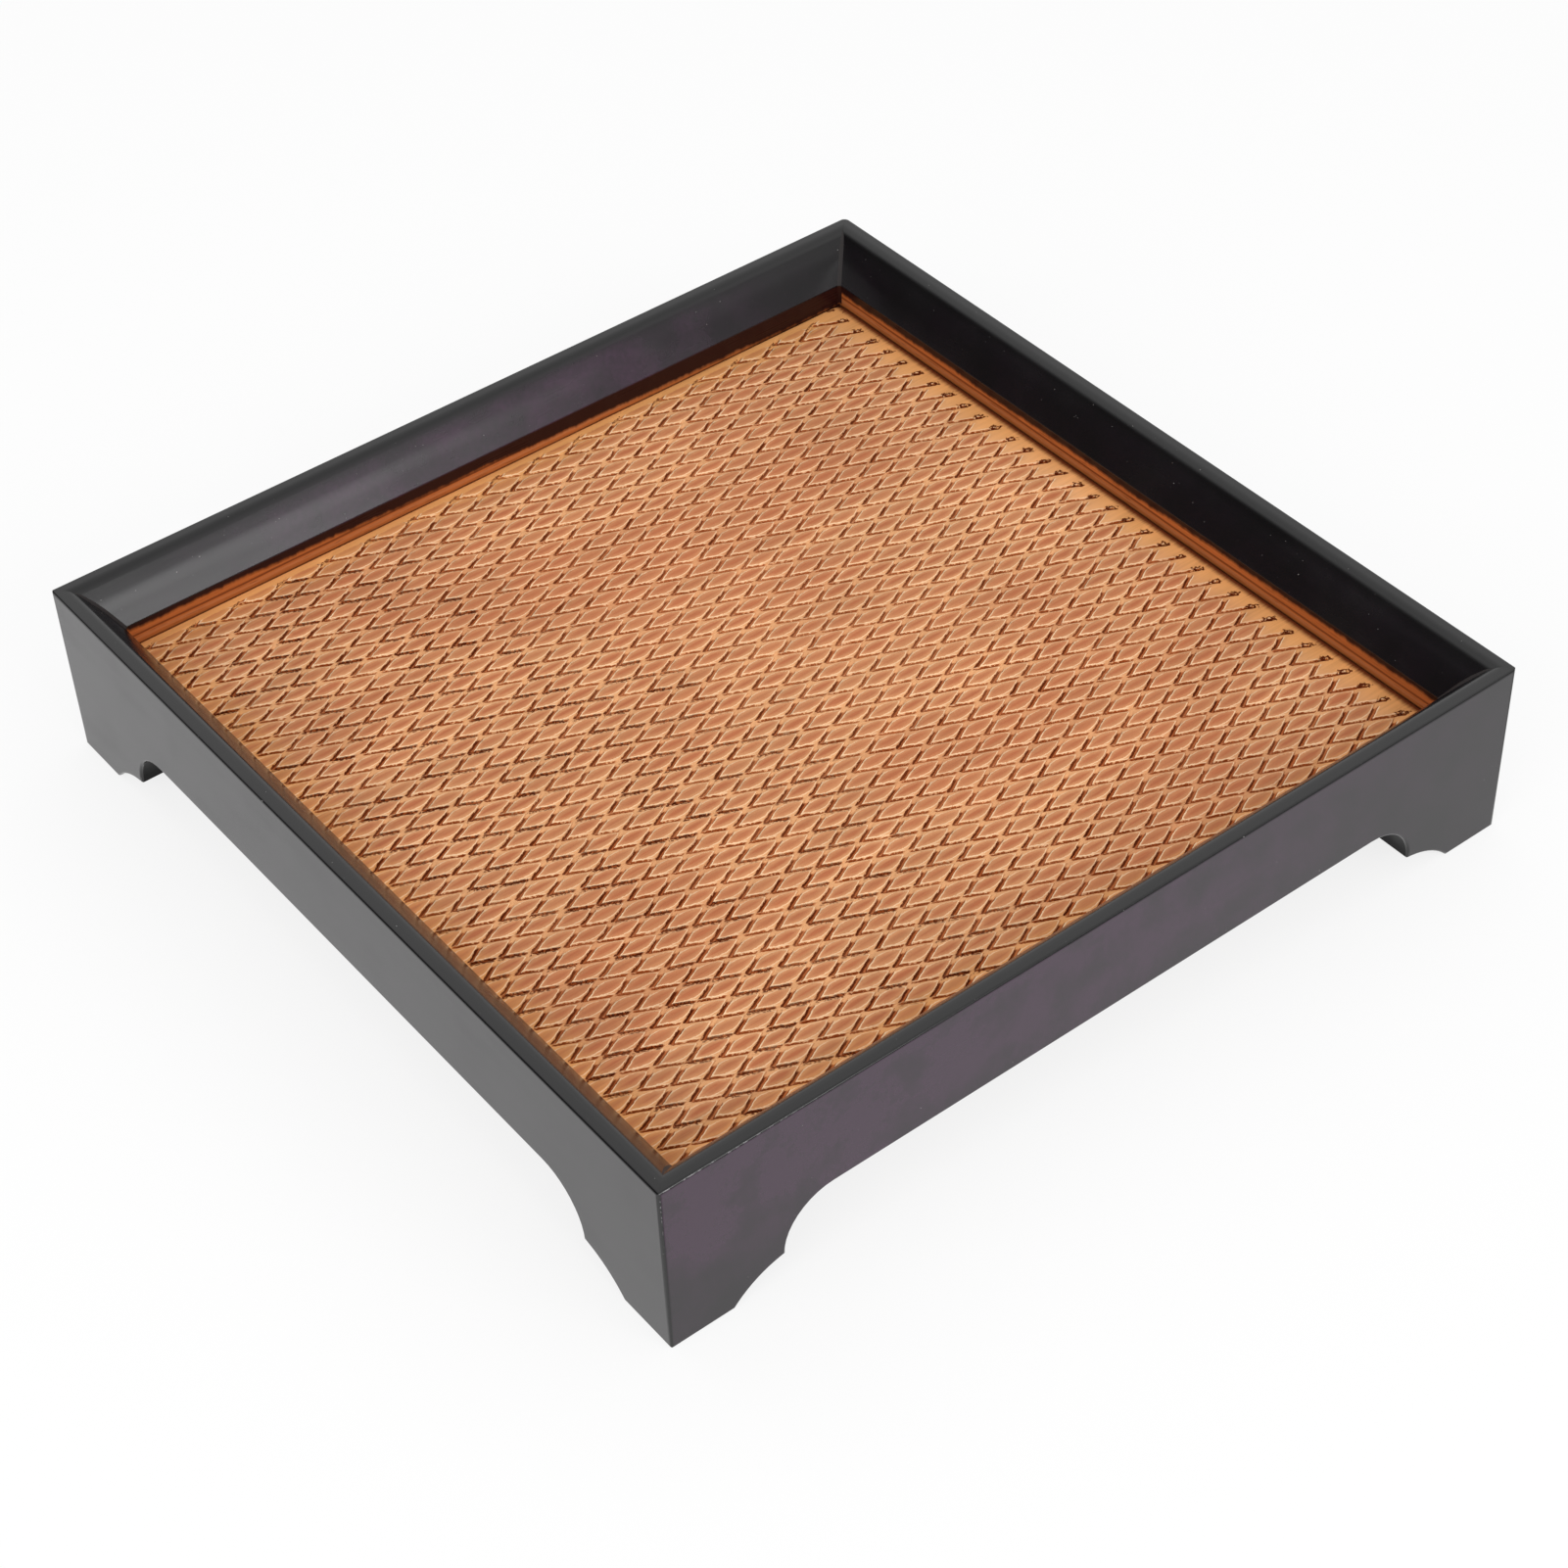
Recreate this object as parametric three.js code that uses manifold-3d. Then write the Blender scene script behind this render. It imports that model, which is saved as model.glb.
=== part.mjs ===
// Square tea tray. Four mitred rails, each with a bracket foot at both ends, stand round one carved board.
// The board floats in a groove in the rails, and a hidden loose tongue ties each mitre.
// Millimetres, +Z up. The origin is the middle of the footprint on the table, and the front is towards -Y.
import * as THREE from "three";
import { mergeVertices } from "three/addons/utils/BufferGeometryUtils.js";
import Module from "manifold-3d";

// Driving dimensions of the frame
const TRAY_WIDTH = 250; // outside, along X
const TRAY_DEPTH = 250; // outside, along Y
const TRAY_HEIGHT = 50; // table to rim
const RAIL_THICKNESS = 12;
const RIM_WIDTH = 4; // flat on top of a rail, outside the bevel
const BEVEL_DROP = 11; // height of the sloping inner face under the rim
const WELL_DEPTH = 17; // rim down to the top of the board
const ARRIS_RADIUS = 0.8; // easing along the top and bottom edges
const CORNER_RADIUS = 2; // easing of the four upright corners
const MITRE_GAP = 0.2; // glue line between two rails

// Driving dimensions of the bracket feet, measured along a rail from the tray's corner
const FOOT_FLAT = 17; // length of the foot's flat sole
const CUSP_REACH = 14; // run of the lower cove, from the sole to the cusp
const CUSP_HEIGHT = 7.5; // rise of the lower cove

// Driving dimensions of the board and its groove
const BOARD_THICKNESS = 7;
const REBATE_DEPTH = 3; // step from the raised field down to the tongue
const FIELD_GAP = 1.2; // shadow gap between the raised field and the rails
const FIELD_CORNER_RADIUS = 2.5;
const FIELD_EDGE_RADIUS = 0.8; // easing of the field's top edge
const TONGUE_CORNER_RADIUS = 1;
const GROOVE_DEPTH = 5;
const GROOVE_LIP = 4.7; // wood left under the groove, down to the apron's lower edge
const BOARD_FIT = 0.3; // clearance above and below the tongue
const BOARD_PLAY = 0.5; // room for the board to swell, at each edge

// Driving dimensions of the carved lattice: rhombic islands between two sets of straight V cuts
const RHOMBUS_LENGTH = 12.9; // along X, with the grain
const RHOMBUS_WIDTH = 6.5; // along Y
const LATTICE_MARGIN = 1.2; // least plain border between the lattice and the field's edge
const CUT_WIDTH = 1.3; // at the surface
const CUT_DEPTH = 0.7;

// Driving dimensions of the loose tongues in the mitres
const SPLINE_WIDTH = 8; // across the mitre
const SPLINE_THICKNESS = 3;
const SPLINE_SETBACK = 4.5; // inner face of a rail to the middle of the tongue
const SPLINE_COVER = 4; // wood left below and above the tongue
const SPLINE_FIT = 0.3; // clearance all round the tongue

// Finishes
const BLACK_LACQUER = { color: 0x1b1618, roughness: 0.32, metalness: 0 };
const AMBER_BAMBOO = { color: 0xbe845d, roughness: 0.42, metalness: 0 };
const BARE_BEECH = { color: 0xcaa679, roughness: 0.7, metalness: 0 };

// Levels and places that follow from the driving dimensions
const OVERRUN = 1; // how far one cutting prism passes the next
const EASING_STEPS = 2; // fineness of the small roundings
const COVE_STEPS = 6; // fineness of the coves of the feet
const boardTop = TRAY_HEIGHT - WELL_DEPTH;
const boardBottom = boardTop - BOARD_THICKNESS;
const tongueTop = boardTop - REBATE_DEPTH;
const grooveBottom = boardBottom - BOARD_FIT;
const grooveTop = tongueTop + BOARD_FIT;
const apronEdge = grooveBottom - GROOVE_LIP;
const bevelFoot = TRAY_HEIGHT - BEVEL_DROP;
const tongueReach = GROOVE_DEPTH - BOARD_PLAY;
const splineInset = RAIL_THICKNESS - SPLINE_SETBACK;
const splineHeight = grooveBottom - 2 * SPLINE_COVER;

const wasm = await Module();
wasm.setup();

// A closed geometry as a solid that can be joined and cut.
function solidOf(geometry) {
  const bare = geometry.clone();
  bare.deleteAttribute("normal");
  bare.deleteAttribute("uv");
  const merged = mergeVertices(bare);
  const vertProperties = new Float32Array(merged.attributes.position.array);
  const triVerts = new Uint32Array(merged.index.array);
  return new wasm.Manifold(new wasm.Mesh({ numProp: 3, vertProperties, triVerts }));
}

// A solid as a geometry for a mesh.
function geometryOf(solid) {
  const mesh = solid.getMesh();
  const geometry = new THREE.BufferGeometry();
  geometry.setAttribute("position", new THREE.BufferAttribute(mesh.vertProperties, mesh.numProp));
  geometry.setIndex(new THREE.BufferAttribute(mesh.triVerts, 1));
  geometry.computeVertexNormals();
  return geometry;
}

function meshOf(name, solid, finish) {
  const mesh = new THREE.Mesh(geometryOf(solid), new THREE.MeshStandardMaterial(finish));
  mesh.name = name;
  return mesh;
}

// An outline in X and Y, raised from `bottom` to `top`.
function uprightPrism(outline, bottom, top) {
  const options = { depth: top - bottom, bevelEnabled: false, curveSegments: EASING_STEPS };
  return solidOf(new THREE.ExtrudeGeometry(outline, options).translate(0, 0, bottom));
}

// An outline in Y and Z, run along X over `length`, centred.
function lengthwisePrism(outline, length) {
  const options = { depth: length, bevelEnabled: false, curveSegments: EASING_STEPS };
  const run = new THREE.ExtrudeGeometry(outline, options).translate(0, 0, -length / 2);
  const axes = [new THREE.Vector3(0, 1, 0), new THREE.Vector3(0, 0, 1), new THREE.Vector3(1, 0, 0)];
  return solidOf(run.applyMatrix4(new THREE.Matrix4().makeBasis(...axes)));
}

// An outline in X and Z, run along Y from `near` to `far`.
function crosswisePrism(outline, near, far) {
  const options = { depth: far - near, bevelEnabled: false, curveSegments: COVE_STEPS };
  const run = new THREE.ExtrudeGeometry(outline, options);
  return solidOf(run.rotateX(Math.PI / 2).translate(0, far, 0));
}

function rectangle(width, depth) {
  const outline = new THREE.Shape();
  outline.moveTo(width / 2, depth / 2);
  outline.lineTo(-width / 2, depth / 2);
  outline.lineTo(-width / 2, -depth / 2);
  outline.lineTo(width / 2, -depth / 2);
  outline.closePath();
  return outline;
}

function roundedRectangle(width, depth, radius) {
  const x = width / 2 - radius;
  const y = depth / 2 - radius;
  const outline = new THREE.Shape();
  outline.absarc(x, y, radius, 0, Math.PI / 2);
  outline.absarc(-x, y, radius, Math.PI / 2, Math.PI);
  outline.absarc(-x, -y, radius, Math.PI, 1.5 * Math.PI);
  outline.absarc(x, -y, radius, 1.5 * Math.PI, 2 * Math.PI);
  return outline;
}

// The rail's cross-section: Y runs in from the outer face, Z up from the table.
function railSection() {
  const r = ARRIS_RADIUS;
  const section = new THREE.Shape();
  section.absarc(r, r, r, Math.PI, 1.5 * Math.PI);
  section.lineTo(RAIL_THICKNESS, 0);
  section.lineTo(RAIL_THICKNESS, grooveBottom);
  section.lineTo(RAIL_THICKNESS - GROOVE_DEPTH, grooveBottom);
  section.lineTo(RAIL_THICKNESS - GROOVE_DEPTH, grooveTop);
  section.lineTo(RAIL_THICKNESS, grooveTop);
  section.lineTo(RAIL_THICKNESS, bevelFoot);
  section.lineTo(RIM_WIDTH, TRAY_HEIGHT);
  section.absarc(r, TRAY_HEIGHT - r, r, Math.PI / 2, Math.PI);
  return section;
}

// The rail's elevation: a bracket foot at each end, whose two coves meet at a cusp, and the apron between.
function railElevation(length) {
  const end = length / 2;
  const sole = end - FOOT_FLAT;
  const cusp = sole - CUSP_REACH;
  const lowerRadius = (CUSP_REACH ** 2 + CUSP_HEIGHT ** 2) / (2 * CUSP_HEIGHT);
  const lowerCentre = CUSP_HEIGHT - lowerRadius;
  const soleAngle = Math.atan2(-lowerCentre, CUSP_REACH);
  const upperRadius = apronEdge - CUSP_HEIGHT;
  const outline = new THREE.Shape();
  outline.moveTo(end, 0);
  outline.lineTo(end, TRAY_HEIGHT);
  outline.lineTo(-end, TRAY_HEIGHT);
  outline.lineTo(-end, 0);
  outline.absarc(-cusp, lowerCentre, lowerRadius, Math.PI - soleAngle, Math.PI / 2, true);
  outline.absarc(-cusp + upperRadius, CUSP_HEIGHT, upperRadius, Math.PI, Math.PI / 2, true);
  outline.absarc(cusp - upperRadius, CUSP_HEIGHT, upperRadius, Math.PI / 2, 0, true);
  outline.absarc(cusp, lowerCentre, lowerRadius, Math.PI / 2, soleAngle, true);
  return outline;
}

// The rail's plan: mitred ends, set back by half the glue line, and the rail's half of each rounded corner.
function railPlan(length) {
  const r = CORNER_RADIUS;
  const setBack = MITRE_GAP / Math.SQRT2;
  const lost = Math.asin(MITRE_GAP / (2 * r));
  const far = RAIL_THICKNESS + OVERRUN;
  const outline = new THREE.Shape();
  outline.moveTo(length / 2 - far - setBack, far);
  outline.lineTo(-length / 2 + far + setBack, far);
  outline.absarc(-length / 2 + r, r, r, 1.25 * Math.PI + lost, 1.5 * Math.PI);
  outline.absarc(length / 2 - r, r, r, 1.5 * Math.PI, 1.75 * Math.PI - lost);
  return outline;
}

// A loose tongue's plan, with round edges, grown by `clearance` on every side.
function splinePlan(clearance) {
  const radius = SPLINE_THICKNESS / 2 + clearance;
  const reach = (SPLINE_WIDTH - SPLINE_THICKNESS) / 2;
  const outline = new THREE.Shape();
  outline.absarc(reach, 0, radius, -Math.PI / 2, Math.PI / 2);
  outline.absarc(-reach, 0, radius, Math.PI / 2, 1.5 * Math.PI);
  return outline;
}

function spline(clearance) {
  const foot = SPLINE_COVER;
  return uprightPrism(splinePlan(clearance), foot - clearance, foot + splineHeight + clearance);
}

// A rail is what its section, elevation and plan have in common, less a mortise in each mitre.
// It lies along X with its outer face on Y = 0.
function rail(length) {
  const blank = lengthwisePrism(railSection(), length + 2 * OVERRUN)
    .intersect(crosswisePrism(railElevation(length), -OVERRUN, RAIL_THICKNESS + OVERRUN))
    .intersect(uprightPrism(railPlan(length), -OVERRUN, TRAY_HEIGHT + OVERRUN));
  const mortise = spline(SPLINE_FIT);
  const place = length / 2 - splineInset;
  return blank
    .subtract(mortise.rotate([0, 0, -45]).translate([-place, splineInset, 0]))
    .subtract(mortise.rotate([0, 0, 45]).translate([place, splineInset, 0]));
}

// One V cut along X, `length` long, with its mouth level with the top of the board.
function vCut(length) {
  const mouth = (CUT_WIDTH / 2) * (1 + OVERRUN / CUT_DEPTH);
  const outline = new THREE.Shape();
  outline.moveTo(0, boardTop - CUT_DEPTH);
  outline.lineTo(mouth, boardTop + OVERRUN);
  outline.lineTo(-mouth, boardTop + OVERRUN);
  outline.closePath();
  return lengthwisePrism(outline, length);
}

// The two sets of cuts, kept to whole rhombi, so that the lattice ends in closed points all round.
function latticeCuts() {
  const room = 2 * (RAIL_THICKNESS + FIELD_GAP + LATTICE_MARGIN);
  const columns = Math.floor((TRAY_WIDTH - room) / RHOMBUS_LENGTH);
  const rows = Math.floor((TRAY_DEPTH - room) / RHOMBUS_WIDTH);
  const width = columns * RHOMBUS_LENGTH;
  const depth = rows * RHOMBUS_WIDTH;
  const cut = vCut(Math.hypot(width, depth) + 2 * OVERRUN);
  const slant = THREE.MathUtils.radToDeg(Math.atan2(RHOMBUS_WIDTH, RHOMBUS_LENGTH));
  const lines = columns + rows;
  let cuts = null;
  for (let line = 0; line < lines; line += 1) {
    const offset = (line - (lines - 1) / 2) * RHOMBUS_WIDTH;
    for (const turn of [slant, -slant]) {
      const placed = cut.rotate([0, 0, turn]).translate([0, offset, 0]);
      cuts = cuts ? cuts.add(placed) : placed;
    }
  }
  const border = rectangle(width, depth);
  return cuts.intersect(uprightPrism(border, boardTop - OVERRUN, boardTop + OVERRUN));
}

// The board: a tongue all round that runs in the grooves, and a raised, carved field with an eased edge.
function board() {
  const wellWidth = TRAY_WIDTH - 2 * RAIL_THICKNESS;
  const wellDepth = TRAY_DEPTH - 2 * RAIL_THICKNESS;
  const tongue = roundedRectangle(
    wellWidth + 2 * tongueReach,
    wellDepth + 2 * tongueReach,
    TONGUE_CORNER_RADIUS,
  );
  const inset = FIELD_GAP + FIELD_EDGE_RADIUS;
  const crown = roundedRectangle(
    wellWidth - 2 * inset,
    wellDepth - 2 * inset,
    FIELD_CORNER_RADIUS - FIELD_EDGE_RADIUS,
  );
  const eased = new THREE.ExtrudeGeometry(crown, {
    depth: BOARD_THICKNESS - 2 * FIELD_EDGE_RADIUS,
    bevelSize: FIELD_EDGE_RADIUS,
    bevelThickness: FIELD_EDGE_RADIUS,
    bevelSegments: 3,
    curveSegments: EASING_STEPS,
  });
  const field = solidOf(eased.translate(0, 0, boardBottom + FIELD_EDGE_RADIUS));
  return uprightPrism(tongue, boardBottom, tongueTop).add(field).subtract(latticeCuts());
}

// A piece made along a side's own X axis, turned to that side of the tray.
function placedSide(mesh, quarterTurns, halfSpan) {
  const side = new THREE.Group();
  side.rotation.z = (quarterTurns * Math.PI) / 2;
  mesh.position.y = -halfSpan;
  side.add(mesh);
  return side;
}

const tray = new THREE.Group();

const SIDES = [
  { name: "front_rail", length: TRAY_WIDTH, halfSpan: TRAY_DEPTH / 2 },
  { name: "right_rail", length: TRAY_DEPTH, halfSpan: TRAY_WIDTH / 2 },
  { name: "back_rail", length: TRAY_WIDTH, halfSpan: TRAY_DEPTH / 2 },
  { name: "left_rail", length: TRAY_DEPTH, halfSpan: TRAY_WIDTH / 2 },
];
SIDES.forEach((side, turns) => {
  tray.add(placedSide(meshOf(side.name, rail(side.length), BLACK_LACQUER), turns, side.halfSpan));
});

tray.add(meshOf("carved_panel", board(), AMBER_BAMBOO));

const CORNERS = [
  { name: "front_left_spline", x: -1, y: -1 },
  { name: "front_right_spline", x: 1, y: -1 },
  { name: "back_right_spline", x: 1, y: 1 },
  { name: "back_left_spline", x: -1, y: 1 },
];
for (const { name, x, y } of CORNERS) {
  const tongue = meshOf(name, spline(0), BARE_BEECH);
  tongue.position.set(x * (TRAY_WIDTH / 2 - splineInset), y * (TRAY_DEPTH / 2 - splineInset), 0);
  tongue.rotation.z = (-x * y * Math.PI) / 4;
  tray.add(tongue);
}

export default tray;
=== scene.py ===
"""A footed tea tray: lacquered rails mitred round a carved bamboo board, on a plain studio stage."""
import math
from functools import partial, reduce

import bmesh
import bpy
from bpy.props import FloatProperty, FloatVectorProperty, PointerProperty
from mathutils import Matrix, Vector


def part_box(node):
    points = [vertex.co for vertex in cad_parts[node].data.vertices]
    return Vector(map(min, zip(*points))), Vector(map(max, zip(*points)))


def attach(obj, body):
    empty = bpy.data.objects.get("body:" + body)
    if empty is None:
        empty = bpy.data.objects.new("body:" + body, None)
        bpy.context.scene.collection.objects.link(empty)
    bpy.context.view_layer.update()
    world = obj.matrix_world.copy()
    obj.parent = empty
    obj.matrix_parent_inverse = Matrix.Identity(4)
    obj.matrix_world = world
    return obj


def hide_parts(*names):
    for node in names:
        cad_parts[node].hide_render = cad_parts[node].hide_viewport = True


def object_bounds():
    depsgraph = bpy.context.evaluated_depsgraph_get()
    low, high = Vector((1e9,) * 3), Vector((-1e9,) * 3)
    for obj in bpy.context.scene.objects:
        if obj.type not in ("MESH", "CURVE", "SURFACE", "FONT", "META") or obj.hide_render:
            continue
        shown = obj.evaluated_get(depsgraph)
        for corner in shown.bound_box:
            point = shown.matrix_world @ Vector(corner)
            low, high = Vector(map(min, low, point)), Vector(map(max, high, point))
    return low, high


bl_info = {
    "name": "Footed tea tray",
    "version": (1, 0, 0),
    "blender": (4, 5, 0),
    "location": "View3D > Sidebar > Tea tray",
    "description": "Dresses the tray's frame with lacquered rails, a carved board and a studio stage",
    "category": "Object",
}

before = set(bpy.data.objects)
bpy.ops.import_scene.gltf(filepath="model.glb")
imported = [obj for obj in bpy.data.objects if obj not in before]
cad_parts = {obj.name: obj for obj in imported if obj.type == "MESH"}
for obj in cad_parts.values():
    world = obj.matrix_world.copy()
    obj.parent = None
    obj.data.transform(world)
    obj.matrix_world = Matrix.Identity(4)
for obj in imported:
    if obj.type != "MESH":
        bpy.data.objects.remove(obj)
CAD_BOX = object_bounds()

MM = 0.001
RAIL_LOW, RAIL_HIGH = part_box("front_rail")
BOARD_LOW, BOARD_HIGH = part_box("carved_panel")
TRAY_LOW, TRAY_HIGH = CAD_BOX
TRAY_WIDTH = TRAY_HIGH[0] - TRAY_LOW[0]
TRAY_DEPTH = TRAY_HIGH[1] - TRAY_LOW[1]
TRAY_HEIGHT = TRAY_HIGH[2] - TRAY_LOW[2]
RAIL_THICKNESS = RAIL_HIGH[1] - RAIL_LOW[1]
BOARD_TOP = BOARD_HIGH[2]
BOARD_BOTTOM = BOARD_LOW[2]

# Each rail is made as the front one and turned in quarter turns. A pair holds a value at the rail's own
# left and right end: how far down the bare inner edge the lacquer has run, and how thin the lacquer is.
# The lacquer looks most plum where its thinness is about 0.8.
RAILS = (
    ("front_rail", 0, (0.16, 0.28), (0.87, 0.36)),
    ("right_rail", 1, (0.2, 0.4), (0.0, 0.3)),
    ("back_rail", 2, (1.15, 0.1), (1.3, 0.3)),
    ("left_rail", 3, (0.24, 0.14), (0.0, 0.1)),
)
# Corners in quarter turns from the front left one, each with how pale the lacquer gathered inside it is
# painted, from rubbing and a painted highlight, and how far down the bare edge it has run.
CORNERS = (
    ("front_left", 0.1, 0.2),
    ("front_right", 0.3, 0.3),
    ("back_right", 2.0, 1.0),
    ("back_left", 0.1, 0.15),
)
QUARTER_TURN = math.radians(90)
# Materials of a rail, in the order of its mesh's slots.
LACQUERED, BARE, SAWN = range(3)
# Angles up to which the edges of a rail, a bead of lacquer and the board are shaded smooth.
RAIL_SMOOTH = math.radians(40)
BEAD_SMOOTH = math.radians(50)
BOARD_SMOOTH = math.radians(50)
# Steps round an eased edge of a rail's section, and a hair past the depth where an upright corner's round
# meets the mitre.
EDGE_STEPS = 7
PAST_ROUND = 0.001 * MM
# A bead of lacquer reaches its full width some way in from the rim, from a share of it at the rim. Its face
# is hollow by a share of its width, and its back is sunk into the rails.
BEAD_RUN_IN = 2 * MM
BEAD_START = 0.1
BEAD_HOLLOW = 0.3
BEAD_SINK = Vector((0.1 * MM, 0.1 * MM, 0.2 * MM))

# A band is a mask, given by where it starts, is full, fades and ends. These two are in the thinness of the
# lacquer: where it looks plum, and where its edges show pale from rubbing and a painted highlight. The last
# value is the most for a bead.
PLUM_BAND = (0.3, 0.75, 0.9, 1.25)
RUB_AND_HIGHLIGHT_BAND = (0.76, 0.86, 0.9, 1.0)
BEAD_THINNESS = 0.88
# Bands of the bare edge, in millimetres above the board: a paler line and the dark seam over it.
PALE_LINE = (0.4, 0.8, 1.3, 1.8)
SEAM_LINE = (1.8, 2.1, 2.3, 2.8)

# The board's wide cuts, called slots, rise to the right, and its narrow ones, called nicks, fall to it. A
# family number tells them apart where chance is drawn. A stroke is a band along a cut, as shares of a
# diamond's side, with how far its ends stray and the least depth that chance leaves it.
SLOT_FAMILY = 0.5
SLOT_STROKE = (0.0, 0.05, 0.62, 0.72)
SLOT_STRAY = 0.12
SLOT_LEAST = 0.82
NICK_FAMILY = 1.5
NICK_STROKE = (0.05, 0.15, 0.9, 1.0)
NICK_STRAY = 0.14
NICK_LEAST = 0.75
# Offsets from a line of cuts, below it negative, as shares of a diamond's side: the lip above a cut, and the
# far lip and the foot of a slot's floor.
CUT_LIP = 0.025
SLOT_LIP = -0.17
SLOT_FOOT = -0.135
# Mesh lines across a diamond, from the line of cuts below it to the next.
CELL_LINES = (0.0, CUT_LIP, 0.27, 0.55, 1.0 + SLOT_LIP, 1.0 + SLOT_FOOT, 1.0)
# Painted bands beside a line of cuts, as the same offsets.
# Dark walls of the cuts: burnt colour with painted shade inside the cut.
SLOT_WALL_SHADE = (-0.075, -0.045, 0.008, 0.02)
SLOT_FAR_WALL_SHADE = (-0.187, -0.174, -0.155, -0.138)
SLOT_GROUND = (-0.19, -0.175, 0.008, 0.02)
# Painted highlight along a slot's far lip.
SLOT_LIP_HIGHLIGHT = (-0.25, -0.215, -0.195, -0.175)
NICK_WALL_SHADE = (-0.092, -0.05, 0.01, 0.026)
# Painted highlight along the lip above a nick.
NICK_LIP_HIGHLIGHT = (0.025, 0.045, 0.07, 0.11)
NICK_TORN = (-0.22, -0.14, 0.03, 0.09)
# A diamond's leaf-shaped face: its middle and its length along the two families, how wide it is for its
# length, and the band of its rim, where a highlight is painted.
LEAF_MIDDLE = (0.45, 0.43)
LEAF_LENGTHS = (0.7, 0.72)
LEAF_WIDTH = 0.72
LEAF_RIM_HIGHLIGHT = (0.88, 0.98, 1.02, 1.16)
# Ring-shaped bruise about the end of a cut, as shares of its reach.
BRUISE_RING = (0.1, 0.45, 0.8, 1.05)
# How far the slots and the diamond faces stop short of the right-hand end of the carving, in diamonds.
SLOT_SHORT = 0.12
FACE_SHORT = 0.3
# Points of the carved mesh closer than the first value are one, a face smaller than the second is an empty
# one, and the third keeps a division from being by 0.
MERGE_DISTANCE = 0.01 * MM
EMPTY_FACE = 0.001 * MM * MM
NOT_ZERO = 1e-12
# Hand stray as noise scales, with the weight of the slow one against the quick one, and the strip along the
# field's sides in which it dies away.
SLOW_STRAY = 26.0
QUICK_STRAY = 120.0
SLOW_WEIGHT = 2.6
STRAY_STRIP = 7 * MM
# Point of the board about which the light falls strongest and the cuts are faintest.
LIT_MIDDLE = (20 * MM, 28 * MM, 0.0)

WHITE = (1.0, 1.0, 1.0, 1.0)
DUST = (0.4, 0.39, 0.38, 1.0)
HARDWOOD = (0.52, 0.33, 0.17, 1.0)
HARDWOOD_PORE = (0.2, 0.11, 0.05, 1.0)

# The stage, in metres. A soft box has its direction from the tray, its width and its height.
FLOOR_RADIUS = 40.0
SOFT_BOX_AWAY = 1.5
FRONT_BOX = ((0.1, -0.82, 0.5), 1.0, 0.5)
LEFT_BOX = ((-0.85, -0.2, 0.62), 1.2, 0.75)
# Directions in which the sky has a pale backdrop and a dark corner.
BACKDROP_WAY = (0.57, 0.82, 0.0)
DARK_WAY = (-0.8, 0.49, 0.35)
SENSOR_MILLIMETRES = 36.0


def length(label, about, millimetres):
    """A size that a user may change, given in millimetres and held in metres."""
    return FloatProperty(
        name=label,
        description=about,
        default=millimetres * MM,
        min=0.0,
        precision=5,
        subtype="DISTANCE",
        unit="LENGTH",
    )


def colour(label, about, red, green, blue):
    """A linear colour that a user may change."""
    return FloatVectorProperty(
        name=label,
        description=about,
        default=(red, green, blue, 1.0),
        size=4,
        min=0.0,
        max=1.0,
        subtype="COLOR",
    )


def position(label, about, *metres):
    """A point that a user may change."""
    return FloatVectorProperty(
        name=label, description=about, default=metres, subtype="TRANSLATION", unit="LENGTH"
    )


def amount(label, about, value):
    """A plain number that a user may change."""
    return FloatProperty(name=label, description=about, default=value, min=0.0)


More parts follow.
